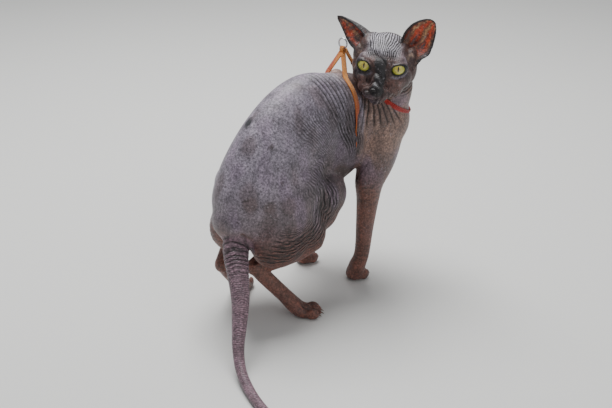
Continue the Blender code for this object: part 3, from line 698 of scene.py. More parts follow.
def big_folds(points):
    """Height of the folds that the surface itself carries and the painted shade in their creases: the rib
    fan, the throat, the neck's side, the rings of the tail's root and the loose skin in front of the
    thigh."""
    x, y, z = points.T
    uneven = wavy(points, 0.05, 3)
    fine = wavy(points, 0.016, 5)
    fan = rib_fan(points)
    rows = []
    trunk = band(z, 0.165, 0.30, 0.03) * step(np.abs(x), 0.002, 0.012)
    reach = 17 + 5 * wavy(points, 0.08, 31)
    rows.append((fan / 3.05 + 0.25 * uneven + 0.10 * fine, 0.0026,
                 band(fan, -1.5, reach, 9) * trunk * step(z, 0.160, 0.205)))
    under = np.maximum(0.2340 - z, -0.010)
    out = (x - 0.0464) * 0.51 + (y - 0.0638) * 0.86
    origin = (out + 0.29 * under) / (1 + 25 * under)
    throat = band(z, 0.215, 0.250, 0.012) * band(origin, -0.004, 0.034, 0.005) * step(x, 0.034, 0.042)
    rows.append((origin / 0.0058 + 0.12 * fine, 0.0024, throat))
    head = in_head(points)
    right, ahead, up = head.T
    nape = band(up, -36, -16, 5) * band(-right, 16, 50, 5) * band(ahead, -40, 8, 8)
    rows.append(((up + 0.25 * ahead) / 6.0 + 0.15 * fine, 0.0016, nape))
    reach, gone = path_reach(points, TAIL_LINE)
    on_tail = step(0.020 - reach, 0.0, 0.003) * step(gone, 0.016, 0.024)
    fade = 0.10 + 0.9 * (1 - step(gone, 0.050, 0.085))
    pace = np.where(gone < 0.048, gone / 0.0074, 0.048 / 0.0074 + (gone - 0.048) / 0.0046)
    rows.append((pace + 0.22 * fine + 0.2 * uneven, 0.0014,
                 on_tail * fade * (1 - step(gone, 0.13, 0.20))))
    ring, turn = thigh_reading(points)
    thigh = band(ring, 0.037, 0.058, 0.008) * band(turn, -25, 100, 25) * step(np.abs(x), 0.028, 0.042)
    rows.append((ring / 0.0050 + 0.35 * fine + 0.35 * uneven, 0.0016, thigh * (1 - on_tail)))
    for name in SIDES:
        elbow, wrist, paw = (np.array(place) for place in FRONT_JOINTS[name])
        close, gone = path_reach(points, (elbow, wrist, paw))
        limb = step(0.024 - close, 0, 0.004)
        length = np.linalg.norm(wrist - elbow)
        rows += [
            (gone / 0.0045 + 0.3 * fine, 0.0008,
             0.6 * limb * band(gone, length - 0.010, length + 0.004, 0.006)),
            (gone / 0.0060 + 0.4 * fine, 0.0008, 0.35 * limb * band(gone, 0.004, 0.022, 0.010)),
        ]
    # The crease value is painted shade: how much each fold's valley and each single crease darkens the
    # skin's colour
    height, crease_shade = np.zeros(len(points)), np.zeros(len(points))
    for phase, depth, strength in rows:
        ridge = pleats(phase)
        height += strength * depth * (ridge - 0.75)
        crease_shade = np.maximum(crease_shade, strength * (1 - ridge ** 2) ** 1.3)
    for path, depth, wide, dark in CREASES:
        away, _ = path_reach(points, path)
        line = np.exp(-(away / wide) ** 2)
        height -= depth * line
        crease_shade = np.maximum(crease_shade, dark * line)
    away, _ = path_reach(points, SHOULDER_RIDGE)
    height += 0.0020 * np.exp(-(away / 0.0034) ** 2)
    pressed = np.exp(-(ahead_of_girth(points) / 0.0044) ** 4) * (1 - step(z, 0.266, 0.276))
    pressed *= step(np.linalg.norm((points - GIRTH_CENTRE) * (1, 0, 1), axis=1), 0.02, 0.03)
    height -= 0.0012 * pressed
    return height, crease_shade


def fine_lines(points):
    """Phase and strength of lines too fine for the surface: the forehead, the flank, the skin
    behind the armpit and the tail.  One family holds each point; where two meet both are weak."""
    x, _, z = points.T
    head = in_head(points)
    uneven = wavy(points, 0.011, 8)
    wide = wavy(points, 0.03, 9)
    brow = band(head[:, 0], -15, 15, 5) * band(head[:, 1], -16, 24, 5) * step(head[:, 2], 13, 18)
    spread = 2.1 + 0.7 * step(20 - head[:, 1], 0, 22)
    ring, turn = thigh_reading(points)
    side = step(np.abs(x), 0.025, 0.040)
    flank = band(ring, 0.030, 0.060, 0.014) * band(turn, -20, 115, 25) * side
    fan = rib_fan(points)
    ribs = band(fan, 4, 42, 12) * band(z, 0.160, 0.235, 0.025) * side
    reach, gone = path_reach(points, TAIL_LINE)
    tail = step(0.020 - reach, 0.0, 0.003) * step(gone, 0.030, 0.045)
    families = [
        (head[:, 0] / spread + 0.75 * uneven + 0.3 * wide, brow),
        (ring / 0.0031 + 0.6 * uneven + 0.8 * wide, 0.62 * flank * (1 - tail)),
        (fan / 1.6 + 0.4 * uneven + 0.6 * wide, 0.50 * ribs),
        (gone / 0.0024 + 0.9 * uneven, 0.42 * tail),
    ]
    phase, strength = np.zeros(len(points)), np.zeros(len(points))
    for one_phase, one_strength in families:
        stronger = one_strength > strength
        phase = np.where(stronger, one_phase, phase)
        strength = np.where(stronger, one_strength, strength)
    return phase, strength


# Lines of the face in millimetres of the head's frame, mirrored where a side is given
MOUTH = ((0, 47.5, -23), (0.8, 46.5, -28.5), (5, 44.5, -31.5), (10, 40, -32), (15, 33, -31),
         (19, 25, -29))
CLEFT = ((0, 49.5, -20.5), (0, 48, -27))
MASK = ((0, 24, 20), (0, 28, 13), (-0.6, 32, 6), (-1.4, 38, -2), (-1.4, 45, -10), (0, 50, -18))
TEAR = ((10.5, 28, 1.5), (8.5, 32, -3), (7.5, 36, -9))


def face_forms(points, normals):
    """Moves of the face, in metres: nostrils, the cleft under the nose, the mouth's line, tear
    grooves and whisker rows pressed in, and rims of the lids raised."""
    head = mirrored(in_head(points))
    close = np.flatnonzero((head[:, 1] > 5) & (head[:, 2] < 30) & (head[:, 2] > -45))
    here = head[close]
    right, ahead, up = here.T
    push = np.zeros(len(points))
    mouth, _ = path_reach(here, MOUTH)
    cleft, _ = path_reach(here, CLEFT)
    tear, _ = path_reach(here, TEAR)
    lid, rise = lid_reading(here)
    front = step(ahead, 15, 21) * step(31.5 - ahead, 0, 2.5)
    press = -0.9 * np.exp(-(mouth / 0.9) ** 2) - 0.6 * np.exp(-(cleft / 0.8) ** 2)
    press -= 0.4 * np.exp(-(tear / 1.6) ** 2)
    press -= 1.8 * near(here, (4.6, 49.0, -20.2), 1.4)
    press += 0.45 * front * np.exp(-((lid - 1.12) / 0.11) ** 2)
    press -= 0.45 * front * np.exp(-((lid - 1.50) / 0.16) ** 2)
    press += 0.35 * front * np.exp(-((lid - 1.85) / 0.18) ** 2) * step(-rise, 0, 3)
    rows = np.cos(2 * pi * (up + 17) / 3.2) * band(ahead, 33, 45, 3) * band(up, -27, -18, 2)
    press -= 0.18 * (rows > 0.6) * step(right, 3, 6)
    push[close] = press / 1000
    return normals * push[:, None]


def ear_reading(points, name):
    """For points near an ear: rise and over of the nearest spot of its sheet, and how far each
    lies in front of the sheet, towards the opening."""
    rise, over = np.meshgrid(np.linspace(0, 1, 34), np.linspace(0, 1, 26), indexing="ij")
    sheet = ear_surface(name, rise, over).reshape(-1, 3)
    bow = HEAD @ unit(np.array(EAR_BOW[name]))
    low, high = sheet.min(0) - 0.004, sheet.max(0) + 0.004
    chosen = np.flatnonzero(((points > low) & (points < high)).all(1))
    if not len(chosen):
        return chosen, None, None, None, None
    here = points[chosen]
    square = (here ** 2).sum(1)[:, None] - 2 * here @ sheet.T + (sheet ** 2).sum(1)
    best = square.argmin(1)
    away = np.sqrt(np.maximum(square[np.arange(len(here)), best], 0))
    return chosen, rise.ravel()[best], over.ravel()[best], -(here - sheet[best]) @ bow, away


def toe_grooves(points):
    """Strength of the clefts between neighbouring toes: a bell across, and one along the toes."""
    strength = np.zeros(len(points))
    for tip, run, spread in feet().values():
        places = toe_places(tip, run, spread)
        close = np.flatnonzero(np.linalg.norm(points - places.mean(0), axis=1) < 0.035)
        here = points[close]
        for one, two in zip(places, places[1:]):
            middle = (one + two) / 2
            away, _ = path_reach(here, (middle + run * 0.012, middle - run * 0.008 + UP * 0.003))
            side = np.exp(-(((here - middle) @ np.cross(run, UP)) / 0.0013) ** 2)
            strength[close] = np.maximum(strength[close], side * np.exp(-(away / 0.0095) ** 4))
    return strength


def carve_details(skin, depth):
    """Move the fused skin's points along their normals by every fold and form of the face."""
    mesh = skin.data
    points, normals = coordinates(mesh), directions(mesh)
    height, _ = big_folds(points)
    moved = points + normals * (depth * height)[:, None]
    moved += face_forms(points, normals) - normals * (0.0024 * toe_grooves(points))[:, None]
    for name in SIDES:
        chosen, rise, over, ahead, away = ear_reading(points, name)
        inner = step(ahead, -0.0002, 0.0006) * step(0.0030 - away, 0, 0.0012)
        pleat = np.cos(2 * pi * (over * 3.2 + 0.35 * rise)) * band(rise, 0.02, 0.42, 0.18)
        pleat *= band(over, 0.2, 0.8, 0.12)
        moved[chosen] += normals[chosen] * (inner * pleat * 0.0009)[:, None]
    moved[:, 2] = np.maximum(moved[:, 2], 0.0)
    set_coordinates(mesh, moved)
    return skin


def blend_to(tone, colour, share):
    """Mix the tone of every point towards a colour by its share."""
    share = np.clip(share, 0, 1)[:, None]
    return tone * (1 - share) + np.asarray(colour, float) * share


def layered(tone, layers):
    """The tone with each layer, a colour and its share at every point, mixed over it in turn."""
    for colour, share in layers:
        tone = blend_to(tone, colour, share)
    return tone


# Spots of the trunk: place, radius, colour and share
SPOTS = (
    ((-0.0085, -0.0770, 0.2385), 0.0066, (0.020, 0.020, 0.024), 1.0),
    ((-0.0050, -0.0800, 0.2340), 0.0045, (0.024, 0.022, 0.026), 0.9),
    ((0.0280, -0.0809, 0.2210), 0.0036, (0.060, 0.040, 0.046), 0.75),
    ((0.0162, -0.0807, 0.2344), 0.0018, (0.040, 0.030, 0.036), 0.8),
    ((0.0393, -0.0382, 0.2314), 0.0018, (0.036, 0.028, 0.034), 0.8),
    ((0.0442, -0.0817, 0.1827), 0.0022, (0.060, 0.036, 0.036), 0.7),
    ((0.0536, -0.0810, 0.1560), 0.0110, (0.078, 0.050, 0.046), 0.55),
    ((0.0430, -0.1007, 0.1587), 0.0075, (0.080, 0.050, 0.046), 0.5),
    ((0.0285, -0.1173, 0.1639), 0.0085, (0.085, 0.054, 0.050), 0.5),
    ((-0.0330, -0.0400, 0.2250), 0.0050, (0.060, 0.040, 0.046), 0.6),
    ((-0.0480, -0.0600, 0.1700), 0.0080, (0.078, 0.050, 0.046), 0.5),
)


# Colours of single places, linear; among them painted shade in the toe clefts, a painted highlight on the
# nose's bridge and painted glow and highlights inside the ears
PAINT = {
    "chest": (0.225, 0.138, 0.106), "throat": (0.085, 0.036, 0.019), "ridge": (0.22, 0.21, 0.28),
    "toe cleft shade": (0.010, 0.006, 0.005), "face": (0.056, 0.025, 0.020), "crown": (0.37, 0.35, 0.39),
    "mask": (0.004, 0.003, 0.004), "bridge": (0.050, 0.046, 0.056), "nose": (0.009, 0.008, 0.009),
    "mouth": (0.020, 0.014, 0.014), "chin": (0.040, 0.027, 0.026), "lid": (0.17, 0.16, 0.21),
    "lid rim": (0.006, 0.006, 0.007), "ear": (0.085, 0.062, 0.064), "cup": (0.16, 0.045, 0.020),
    "cup glow": (0.44, 0.050, 0.014), "cup streak highlight": (0.50, 0.27, 0.13),
    "cup spot": (0.030, 0.012, 0.010), "cup root": (0.26, 0.19, 0.14),
    "ear rim": (0.016, 0.012, 0.013),
}
# Patches on both sides of the head: colour, share, place and radius in millimetres
PATCHES = (
    ((0.185, 0.150, 0.175), 0.75, (27, 15, 13), 9), ((0.150, 0.076, 0.064), 0.75, (15, 31, -13), 9),
    ((0.120, 0.090, 0.100), 0.30, (27, 20, -6), 7), ((0.120, 0.075, 0.070), 0.60, (11, 38, -24), 6),
    ((0.115, 0.068, 0.062), 0.70, (8.5, 25, 15), 5),
)
# Patches of sparse down, broken by unevenness
TUFTS = (((0.34, 0.23, 0.17), 0.75, (31, 2, 13), 8), ((0.24, 0.13, 0.115), 0.55, (20, 27, -16), 7))


def tones(points, normals, colours):
    """The skin's colour at every point, from the back's grey to the dark face and legs, with painted shade
    on the lower body and on surfaces that face down.
    """
    _, y, z = points.T
    back, flank, leg = (np.array(colour) for colour in (colours.back, colours.flank, colours.leg))
    low = 1 - step(z - 0.35 * (y + 0.03), 0.115, 0.235)
    under = step(-normals[:, 2], 0.0, 0.7)
    away, _ = path_reach(points, SHOULDER_RIDGE)
    blotch = wavy(points, 0.034, 11)
    reach, gone = path_reach(points, TAIL_LINE)
    on_tail = step(0.022 - reach, 0.0, 0.004) * step(gone, 0.012, 0.040)
    fore = step(y, 0.025, 0.045) * (1 - step(z, 0.115, 0.170))
    hind = (1 - step(z, 0.090, 0.140)) * (1 - step(y, 0.0, 0.02))
    knuckle = step(wavy(points, 0.012, 13), 0.1, 0.8) * (1 - step(z, 0.02, 0.06)) * (1 - on_tail)
    tone = layered(np.tile(back, (len(points), 1)), [
        # Partly the skin's browner tone and partly painted shade: the flank tone darkens the lower body
        # and every surface that faces down
        (flank, 0.90 * low + 0.6 * under),
        (PAINT["chest"], 0.9 * step(y, 0.035, 0.065) * step(z, 0.150, 0.185)),
        (PAINT["throat"], 0.8 * step(y, 0.085, 0.105) * step(z, 0.215, 0.235)),
        (PAINT["ridge"], 0.7 * np.exp(-(away / 0.0042) ** 2) * step(z, 0.195, 0.215)),
        (back * (1.0, 0.84, 0.98), 0.45 * step(blotch, 0.05, 0.5)),
        (flank * (0.80, 0.72, 0.70), 0.40 * step(-blotch, 0.15, 0.6)),
        *((colour, share * step(near(points, place, radius), 0.25, 0.55))
          for place, radius, colour, share in SPOTS),
        (leg, 0.9 * np.maximum(fore, hind) * (1 - on_tail)),
        (leg * (1.7, 1.5, 1.4), 0.5 * knuckle),
        (colours.tail, 0.85 * on_tail),
        # Painted shade: near black in the clefts between the toes
        (PAINT["toe cleft shade"], 0.85 * toe_grooves(points)),
    ])
    return ear_tones(points, head_tones(points, tone))


def head_tones(points, tone):
    """The head's part of the colours: brown face, pale forehead, black mask with a painted highlight on
    the bridge, lids and nose.
    """
    head = in_head(points)
    across, front, up = head.T
    both = mirrored(head)
    ahead = np.linalg.norm((head - (0, 0, 2)) / (40, 50, 40), axis=1)
    on = step(ahead, 1.30, 1.05) * step(points[:, 2], 0.235, 0.250)
    crown = step(up, 12, 22) * (1 - step(np.abs(across), 14, 24)) * step(front, -22, -9)
    tuft = step(wavy(points, 0.009, 23), -0.1, 0.5)
    mask, gone = path_reach(head, MASK)
    half = 6.6 + 1.8 * wavy(points, 0.012, 17) - 1.2 * band(gone, 16, 22, 5)
    nose = np.linalg.norm((head - (0, 47, -18)) / (8.0, 5.4, 5.4), axis=1)
    mouth, _ = path_reach(both, MOUTH)
    lid, rise = lid_reading(both)
    open_side = on * step(front, 16, 21) * step(32.0 - front, 0, 2.5)
    return layered(tone, [
        (PAINT["face"], on),
        (PAINT["crown"], 0.9 * on * crown),
        *((colour, share * on * near(both, place, radius))
          for colour, share, place, radius in PATCHES),
        *((colour, share * on * tuft * near(both, place, radius))
          for colour, share, place, radius in TUFTS),
        (PAINT["mask"], on * step(half + 2.2 - mask, 0, 2.8) * step(gone, 2, 7)),
        # Painted highlight: a grey patch on the black mask at the top of the nose's bridge
        (PAINT["bridge"], 0.6 * on * near(head, (2.5, 44, -10), 3.5)),
        (PAINT["nose"], on * step(1.25 - nose, 0, 0.3)),
        (PAINT["mouth"], 0.9 * on * np.exp(-(mouth / 1.6) ** 2) * step(front, 20, 26)),
        (PAINT["chin"], 0.8 * on * near(head, (0, 36, -33), 8)),
        (PAINT["lid"], 0.7 * open_side * np.exp(-((lid - 1.48) / 0.18) ** 2) * step(1 - rise, 0, 3)),
        (PAINT["lid rim"], open_side * step(1.27 - lid, 0, 0.12)),
    ])


def ear_tones(points, tone):
    """The ears' part of the colours: orange red inside with a painted glow of light through the thin
    ear in the middle and painted highlights in streaks, a dark rim, grey-brown behind."""
    for name in SIDES:
        chosen, high, over, inner, away = ear_reading(points, name)
        near_ear = step(0.0034 - away, 0, 0.0014) * step(high, 0.02, 0.14)
        inside = near_ear * step(inner, 0.0000, 0.0007)
        edge = 1 - band(over, 0.13, 0.87, 0.09) * (1 - step(high, 0.85, 0.96))
        spot = wavy(points[chosen], 0.013, 21)
        streak = np.sin(2 * pi * (2.6 * over + 0.45 * high) + 1.6 * spot)
        middle = inside * band(over, 0.20, 0.80, 0.2) * step(high, 0.08, 0.30)
        pale = step(-streak, 0.45, 0.95) * step(high, 0.35, 0.55)
        root = (1 - step(high, 0.10, 0.30)) * step(spot, -0.4, 0.3)
        tone[chosen] = layered(tone[chosen], [
            (PAINT["ear"], near_ear),
            (PAINT["cup"], inside),
            # Partly the skin's own red and partly painted glow: the bright red middle stands in for light
            # shining through the thin ear
            (PAINT["cup glow"], middle * step(streak, -0.5, 0.5)),
            # Painted highlight: tan streaks along the ear's pleats
            (PAINT["cup streak highlight"], 0.8 * middle * pale),
            (PAINT["cup spot"], 0.85 * inside * step(-spot, 0.25, 0.6)),
            (PAINT["cup root"], 0.8 * inside * root),
            (PAINT["ear rim"], near_ear * edge),
        ])
    return tone


def attribute(mesh, name, kind, values):
    """A value per point of the mesh, for the finish to read."""
    made = mesh.attributes.new(name, kind, "POINT")
    field = "color" if kind == "FLOAT_COLOR" else "value"
    made.data.foreach_set(field, np.ascontiguousarray(values, np.float32).ravel())


def paint_skin(skin, colours):
    """Write the skin's tone, the painted shade of its creases and the phase and strength of its fine
    lines.
    """
    mesh = skin.data
    points, normals = coordinates(mesh), directions(mesh)
    tone = tones(points, normals, colours)
    _, crease_shade = big_folds(points)
    phase, strength = fine_lines(points)
    attribute(mesh, "Tone", "FLOAT_COLOR", np.column_stack([tone, np.ones(len(tone))]))
    # The crease attribute carries the painted shade of the folds' valleys to the finish
    attribute(mesh, "CreaseShade", "FLOAT", crease_shade)
    attribute(mesh, "Phase", "FLOAT", phase)
    attribute(mesh, "Lines", "FLOAT", strength)
    return skin


class Nodes:
    """Short names for adding nodes to one material and joining them."""

    def __init__(self, name):
        self.material = bpy.data.materials.new(name)
        self.material.use_nodes = True
        self.tree = self.material.node_tree
        self.shader = self.tree.nodes["Principled BSDF"]

    def add(self, kind, **settings):
        node = self.tree.nodes.new(kind)
        for key, value in settings.items():
            setattr(node, key, value)
        return node

    def set(self, socket, value):
        if isinstance(value, bpy.types.NodeSocket):
            self.tree.links.new(value, socket)
        else:
            socket.default_value = value

    def math(self, operation, *values):
        node = self.add("ShaderNodeMath", operation=operation)
        for socket, value in zip(node.inputs, values):
            self.set(socket, value)
        return node.outputs[0]

    def times(self, first, *others):
        """The product of the values."""
        for other in others:
            first = self.math("MULTIPLY", first, other)
        return first

    def axes(self, vector):
        parts = self.add("ShaderNodeSeparateXYZ")
        self.set(parts.inputs[0], vector)
        return parts.outputs

    def place(self):
        return self.add("ShaderNodeTexCoord").outputs["Object"]

    def finish(self, colour, roughness, normal, **constants):
        """Join the shader's colour, roughness and normal, set its constants and give the
        material."""
        for name, value in (("Base Color", colour), ("Roughness", roughness), ("Normal", normal)):
            self.set(self.shader.inputs[name], value)
        for name, value in constants.items():
            self.shader.inputs[name.replace("_", " ")].default_value = value
        return self.material

    def value(self, name):
        return self.add("ShaderNodeAttribute", attribute_name=name).outputs["Fac"]

    def colour(self, name):
        return self.add("ShaderNodeAttribute", attribute_name=name).outputs["Color"]

    def noise(self, scale, detail=3.0, rough=0.55, place=None, kind="ShaderNodeTexNoise"):
        node = self.add(kind)
        self.set(node.inputs["Scale"], scale)
        if kind == "ShaderNodeTexNoise":
            node.inputs["Detail"].default_value = detail
            node.inputs["Roughness"].default_value = rough
        self.set(node.inputs["Vector"], place or self.place())
        return node.outputs[0]

    def spread(self, value, low, high, to_low=0.0, to_high=1.0):
        node = self.add("ShaderNodeMapRange")
        for socket, number in zip(node.inputs, (value, low, high, to_low, to_high)):
            self.set(socket, number)
        return node.outputs[0]

    def mix(self, share, one, two, blend="MIX"):
        node = self.add("ShaderNodeMix", data_type="RGBA", blend_type=blend)
        self.set(node.inputs[0], share)
        self.set(node.inputs[6], one)
        self.set(node.inputs[7], two)
        return node.outputs[2]

    def bump(self, height, distance, strength=1.0, after=None):
        node = self.add("ShaderNodeBump")
        node.inputs["Strength"].default_value = strength
        node.inputs["Distance"].default_value = distance
        self.set(node.inputs["Height"], height)
        if after is not None:
            self.set(node.inputs["Normal"], after)
        return node.outputs[0]


def skin_finish():
    """Bare skin: its tone broken by pale pores, dark flecks and soft mottling, with painted shade
    darkening its creases and fine lines, with a leathery bump, a faint peach fuzz and roughness that
    changes."""
    n = Nodes("bare_skin")
    tone, crease_shade = n.colour("Tone"), n.value("CreaseShade")
    ridge = n.math("ABSOLUTE", n.math("SINE", n.times(n.value("Phase"), pi)))
    groove = n.times(n.spread(ridge, 0.78, 0.30), n.value("Lines"))
    pores = n.noise(900.0, 2.0, 0.6)
    grain = n.noise(420.0, 3.0, 0.65)
    mottle = n.noise(75.0, 4.0, 0.6)
    cells = n.noise(620.0, kind="ShaderNodeTexVoronoi")
    light = n.times(n.spread(grain, 0.36, 0.66, 0.52, 1.60),
                    n.spread(mottle, 0.34, 0.68, 0.70, 1.34), n.spread(pores, 0.35, 0.65, 0.78, 1.24))
    grey = n.add("ShaderNodeCombineColor")
    for socket in grey.inputs[:3]:
        n.set(socket, light)
    base = n.mix(1.0, tone, grey.outputs[0], "MULTIPLY")
    flecks = n.times(n.spread(n.noise(330.0, 2.0, 0.5), 0.62, 0.72),
                     n.spread(n.axes(n.place())[2], 0.100, 0.160, 0.10, 0.32))
    base = n.mix(flecks, base, (0.42, 0.38, 0.42, 1))
    freckles = n.spread(n.noise(190.0, 3.0, 0.6), 0.36, 0.28)
    base = n.mix(n.times(freckles, 0.65), base, (0.030, 0.018, 0.020, 1))
    # Painted shade: creases and the valleys of the fine lines are darkened towards near black
    dark = n.math("MINIMUM", n.math("ADD", crease_shade, n.times(groove, 1.1)), 0.95)
    base = n.mix(dark, base, (0.012, 0.008, 0.008, 1))
    lines = n.bump(n.times(groove, -1.0), 0.0016)
    leather = n.bump(grain, 0.00035, 0.8, n.bump(cells, 0.00022, 0.9, lines))
    return n.finish(base, n.spread(n.math("ADD", mottle, pores), 0.7, 1.3, 0.40, 0.62), leather,
                    Specular_IOR_Level=0.55, Sheen_Weight=0.08, Sheen_Roughness=0.45,
                    Sheen_Tint=(0.86, 0.84, 0.92, 1))


def settle(piece):
    """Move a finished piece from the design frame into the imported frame."""
    piece.data.transform(Matrix.Translation(SHIFT))
    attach(piece, "root")
    return piece


class SPHYNX_OT_skin(bpy.types.Operator):
    """Fuse, carve, fold and colour the cat's one skin"""
    bl_idname = "sphynx.skin"
    bl_label = "Skin"

    def execute(self, context):
        sizes = context.scene.cat_sizes
        skin = eye_openings(fused_skin(sizes.skin_voxel))
        carve_details(skin, sizes.fold_depth)
        thin = skin.modifiers.new("thin", "DECIMATE")
        triangles = sum(len(face.vertices) - 2 for face in skin.data.polygons)
        thin.ratio = min(1.0, sizes.skin_triangles / triangles)
        applied(skin)
        skin.data.shade_smooth()
        skin.data.materials.clear()
        paint_skin(skin, context.scene.cat_colours)
        skin.data.materials.append(skin_finish())
        settle(skin)
        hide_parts(*FLESH)
        return {"FINISHED"}


def eyeball(side, rows=56, columns=96):
    """A ball whose pole is the pupil: angle from the gaze by angle around it, radius R with the
    cornea raised by 0.05 R exp(-(angle / 0.5)^2); the map holds the front view, x and y over R."""
    centre = on_head((side * EYE_PLACE[0], EYE_PLACE[1], EYE_PLACE[2]))
    gaze = unit(0.42 * unit(CAMERA_PLACE - centre) + 0.58 * HEAD @ np.array((side * 0.14, 0.99, -0.02)))
    right = unit(np.cross(gaze, HEAD[:, 2]))
    top = np.cross(right, gaze)
    polar, turn = np.meshgrid(np.linspace(0, pi, rows)[1:-1],
                              np.linspace(0, 2 * pi, columns, endpoint=False), indexing="ij")
    radius = EYE_RADIUS * (1 + 0.05 * np.exp(-(polar / 0.5) ** 2))
    flat = np.stack([np.sin(polar) * np.cos(turn), np.sin(polar) * np.sin(turn)], axis=-1)
    shell = flat[..., :1] * right + flat[..., 1:] * top + np.cos(polar)[..., None] * gaze
    points = (centre + shell * radius[..., None]).reshape(-1, 3)
    points = np.vstack([points, centre + gaze * EYE_RADIUS * 1.05, centre - gaze * EYE_RADIUS])
    faces = turned_over(grid_faces(rows - 2, columns)).tolist()
    front, back, last = len(points) - 2, len(points) - 1, (rows - 3) * columns
    ring = np.arange(columns)
    faces += np.stack([np.full(columns, front), ring, (ring + 1) % columns], axis=-1).tolist()
    faces += np.stack([np.full(columns, back), last + (ring + 1) % columns, last + ring], axis=-1).tolist()
    place = np.vstack([flat.reshape(-1, 2), (0, 0), (0, 0)])
    place[-1] = (2, 2)
    return points, faces, place


def add_map(piece, name, places):
    """A UV map from one place per point."""
    layer = piece.data.uv_layers.new(name=name)
    corner = np.empty(len(piece.data.loops), np.int32)
    piece.data.loops.foreach_get("vertex_index", corner)
    layer.data.foreach_set("uv", np.asarray(places, np.float32)[corner].ravel())


def scaled(colour, factors):
    """A colour with each part times its factor, no more than 1, and full opacity."""
    return (*(min(1.0, part * factor) for part, factor in zip(colour, factors)), 1)


def eye_finish(colour):
    """A wet eye: yellow-green iris with radial fibres, amber near the slit pupil, dark rim."""
    n = Nodes("wet_eye")
    u, v, _ = n.axes(n.add("ShaderNodeUVMap", uv_map="front").outputs[0])
    radius = n.math("SQRT", n.math("ADD", n.times(u, u), n.times(v, v)))
    turn = n.math("ARCTAN2", v, u)
    polar = n.add("ShaderNodeCombineXYZ")
    n.set(polar.inputs[0], n.times(n.math("COSINE", turn), 9.0))
    n.set(polar.inputs[1], n.times(n.math("SINE", turn), 9.0))
    n.set(polar.inputs[2], n.times(radius, 2.2))
    fibre = n.noise(1.6, 3.0, 0.6, polar.outputs[0])
    iris = n.mix(n.spread(fibre, 0.35, 0.65), scaled(colour, (0.62, 0.66, 0.5)), (*colour, 1))
    iris = n.mix(n.spread(radius, 0.42, 0.14, 0.0, 0.75), iris, (0.62, 0.42, 0.05, 1))
    iris = n.mix(n.spread(radius, 0.52, 0.78, 0.0, 0.7), iris, (0.20, 0.26, 0.05, 1))
    iris = n.mix(n.spread(radius, 0.84, 0.92), iris, (0.012, 0.010, 0.008, 1))
    tall = n.math("DIVIDE", v, 0.30)
    square = n.math("MAXIMUM", n.math("SUBTRACT", 1.0, n.times(tall, tall)), 0.0)
    half = n.times(n.math("SQRT", square), 0.085)
    slit = n.spread(n.math("SUBTRACT", half, n.math("ABSOLUTE", u)), -0.012, 0.012)
    slit = n.times(slit, n.spread(n.math("ABSOLUTE", v), 0.31, 0.29))
    return n.finish(n.mix(slit, iris, (0.003, 0.003, 0.003, 1)), n.spread(fibre, 0.2, 0.8, 0.16, 0.24),
                    n.bump(fibre, 0.0003, 0.5), Coat_Weight=1.0, Coat_Roughness=0.03)


class SPHYNX_OT_eyes(bpy.types.Operator):
    """Set the two eyeballs between the lids"""
    bl_idname = "sphynx.eyes"
    bl_label = "Eyes"

    def execute(self, context):
        finish = eye_finish(tuple(context.scene.cat_colours.iris))
        for name, side in SIDES.items():
            points, faces, places = eyeball(side)
            eye = mesh_piece("eyeball_" + name, points, faces)
            add_map(eye, "front", places)
            eye.data.materials.append(finish)
            settle(eye)
            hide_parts("eye_" + name)
        return {"FINISHED"}


def claw_form(root, run, length, sides=10, rows=9):
    """One claw: circles whose radius falls as (1 - t)^0.7 along a curve that sinks by t^2."""
    t = np.linspace(0, 1, rows)[:, None]
    spine = root + run * length * t - UP * (0.0022 * t ** 2)
    ahead = unit(np.gradient(spine, axis=0))
    side = np.cross(run, UP)
    upward = np.cross(side, ahead)
    turn = np.linspace(0, 2 * pi, sides, endpoint=False)[None, :, None]
    radius = (0.00105 * (1 - t) ** 0.7 + 0.00008)[:, None]
    rings = spine[:, None] + radius * (0.75 * np.cos(turn) * side + np.sin(turn) * upward[:, None])
    return closed_rings(rings)


def horn_finish():
    """Claw horn: dark brown and paler horn mixed in soft clouds, with a fine grain in its roughness and
    bump.
    """
    n = Nodes("claw_horn")
    grain = n.noise(900.0, 3.0, 0.6)
    cloud = n.noise(160.0, 2.0, 0.5)
    horn = n.mix(n.spread(cloud, 0.3, 0.7), (0.045, 0.026, 0.020, 1), (0.30, 0.21, 0.16, 1))
    return n.finish(horn, n.spread(grain, 0.3, 0.7, 0.28, 0.45), n.bump(grain, 0.0002, 0.5))


class SPHYNX_OT_claws(bpy.types.Operator):
    """Add a claw to every toe"""
    bl_idname = "sphynx.claws"
    bl_label = "Claws"

    def execute(self, context):
        length = context.scene.cat_sizes.claw_length
        forms = []
        for tip, run, spread in feet().values():
            for place in toe_places(tip, run, spread):
                root = place + run * 1.55 * TOE_RADIUS - UP * 0.0005
                forms.append(claw_form(root, run, length))
        claws = mesh_piece("claws", *joined(forms))
        claws.data.materials.append(horn_finish())
        settle(claws)
        return {"FINISHED"}


def passed_along(path):
    """The length of a path of points up to each of them."""
    return np.r_[0, np.cumsum(np.linalg.norm(np.diff(path, axis=0), axis=1))]


def evened(points, outs, rounds):
    """A loop's points and outward directions at an even spacing, after each row of both moved
    halfway to the middle of its neighbours in each round."""
    loop = np.hstack([points, outs])
    for _ in range(rounds):
        loop = (loop + (np.roll(loop, 1, 0) + np.roll(loop, -1, 0)) / 2) / 2
    line = np.vstack([loop, loop[:1]])
    passed = passed_along(line[:, :3])
    at = np.linspace(0, passed[-1], round(passed[-1] / STRAP_STEP), endpoint=False)
    line = np.stack([np.interp(at, passed, column) for column in line.T], axis=1)
    return line[:, :3], line[:, 3:]


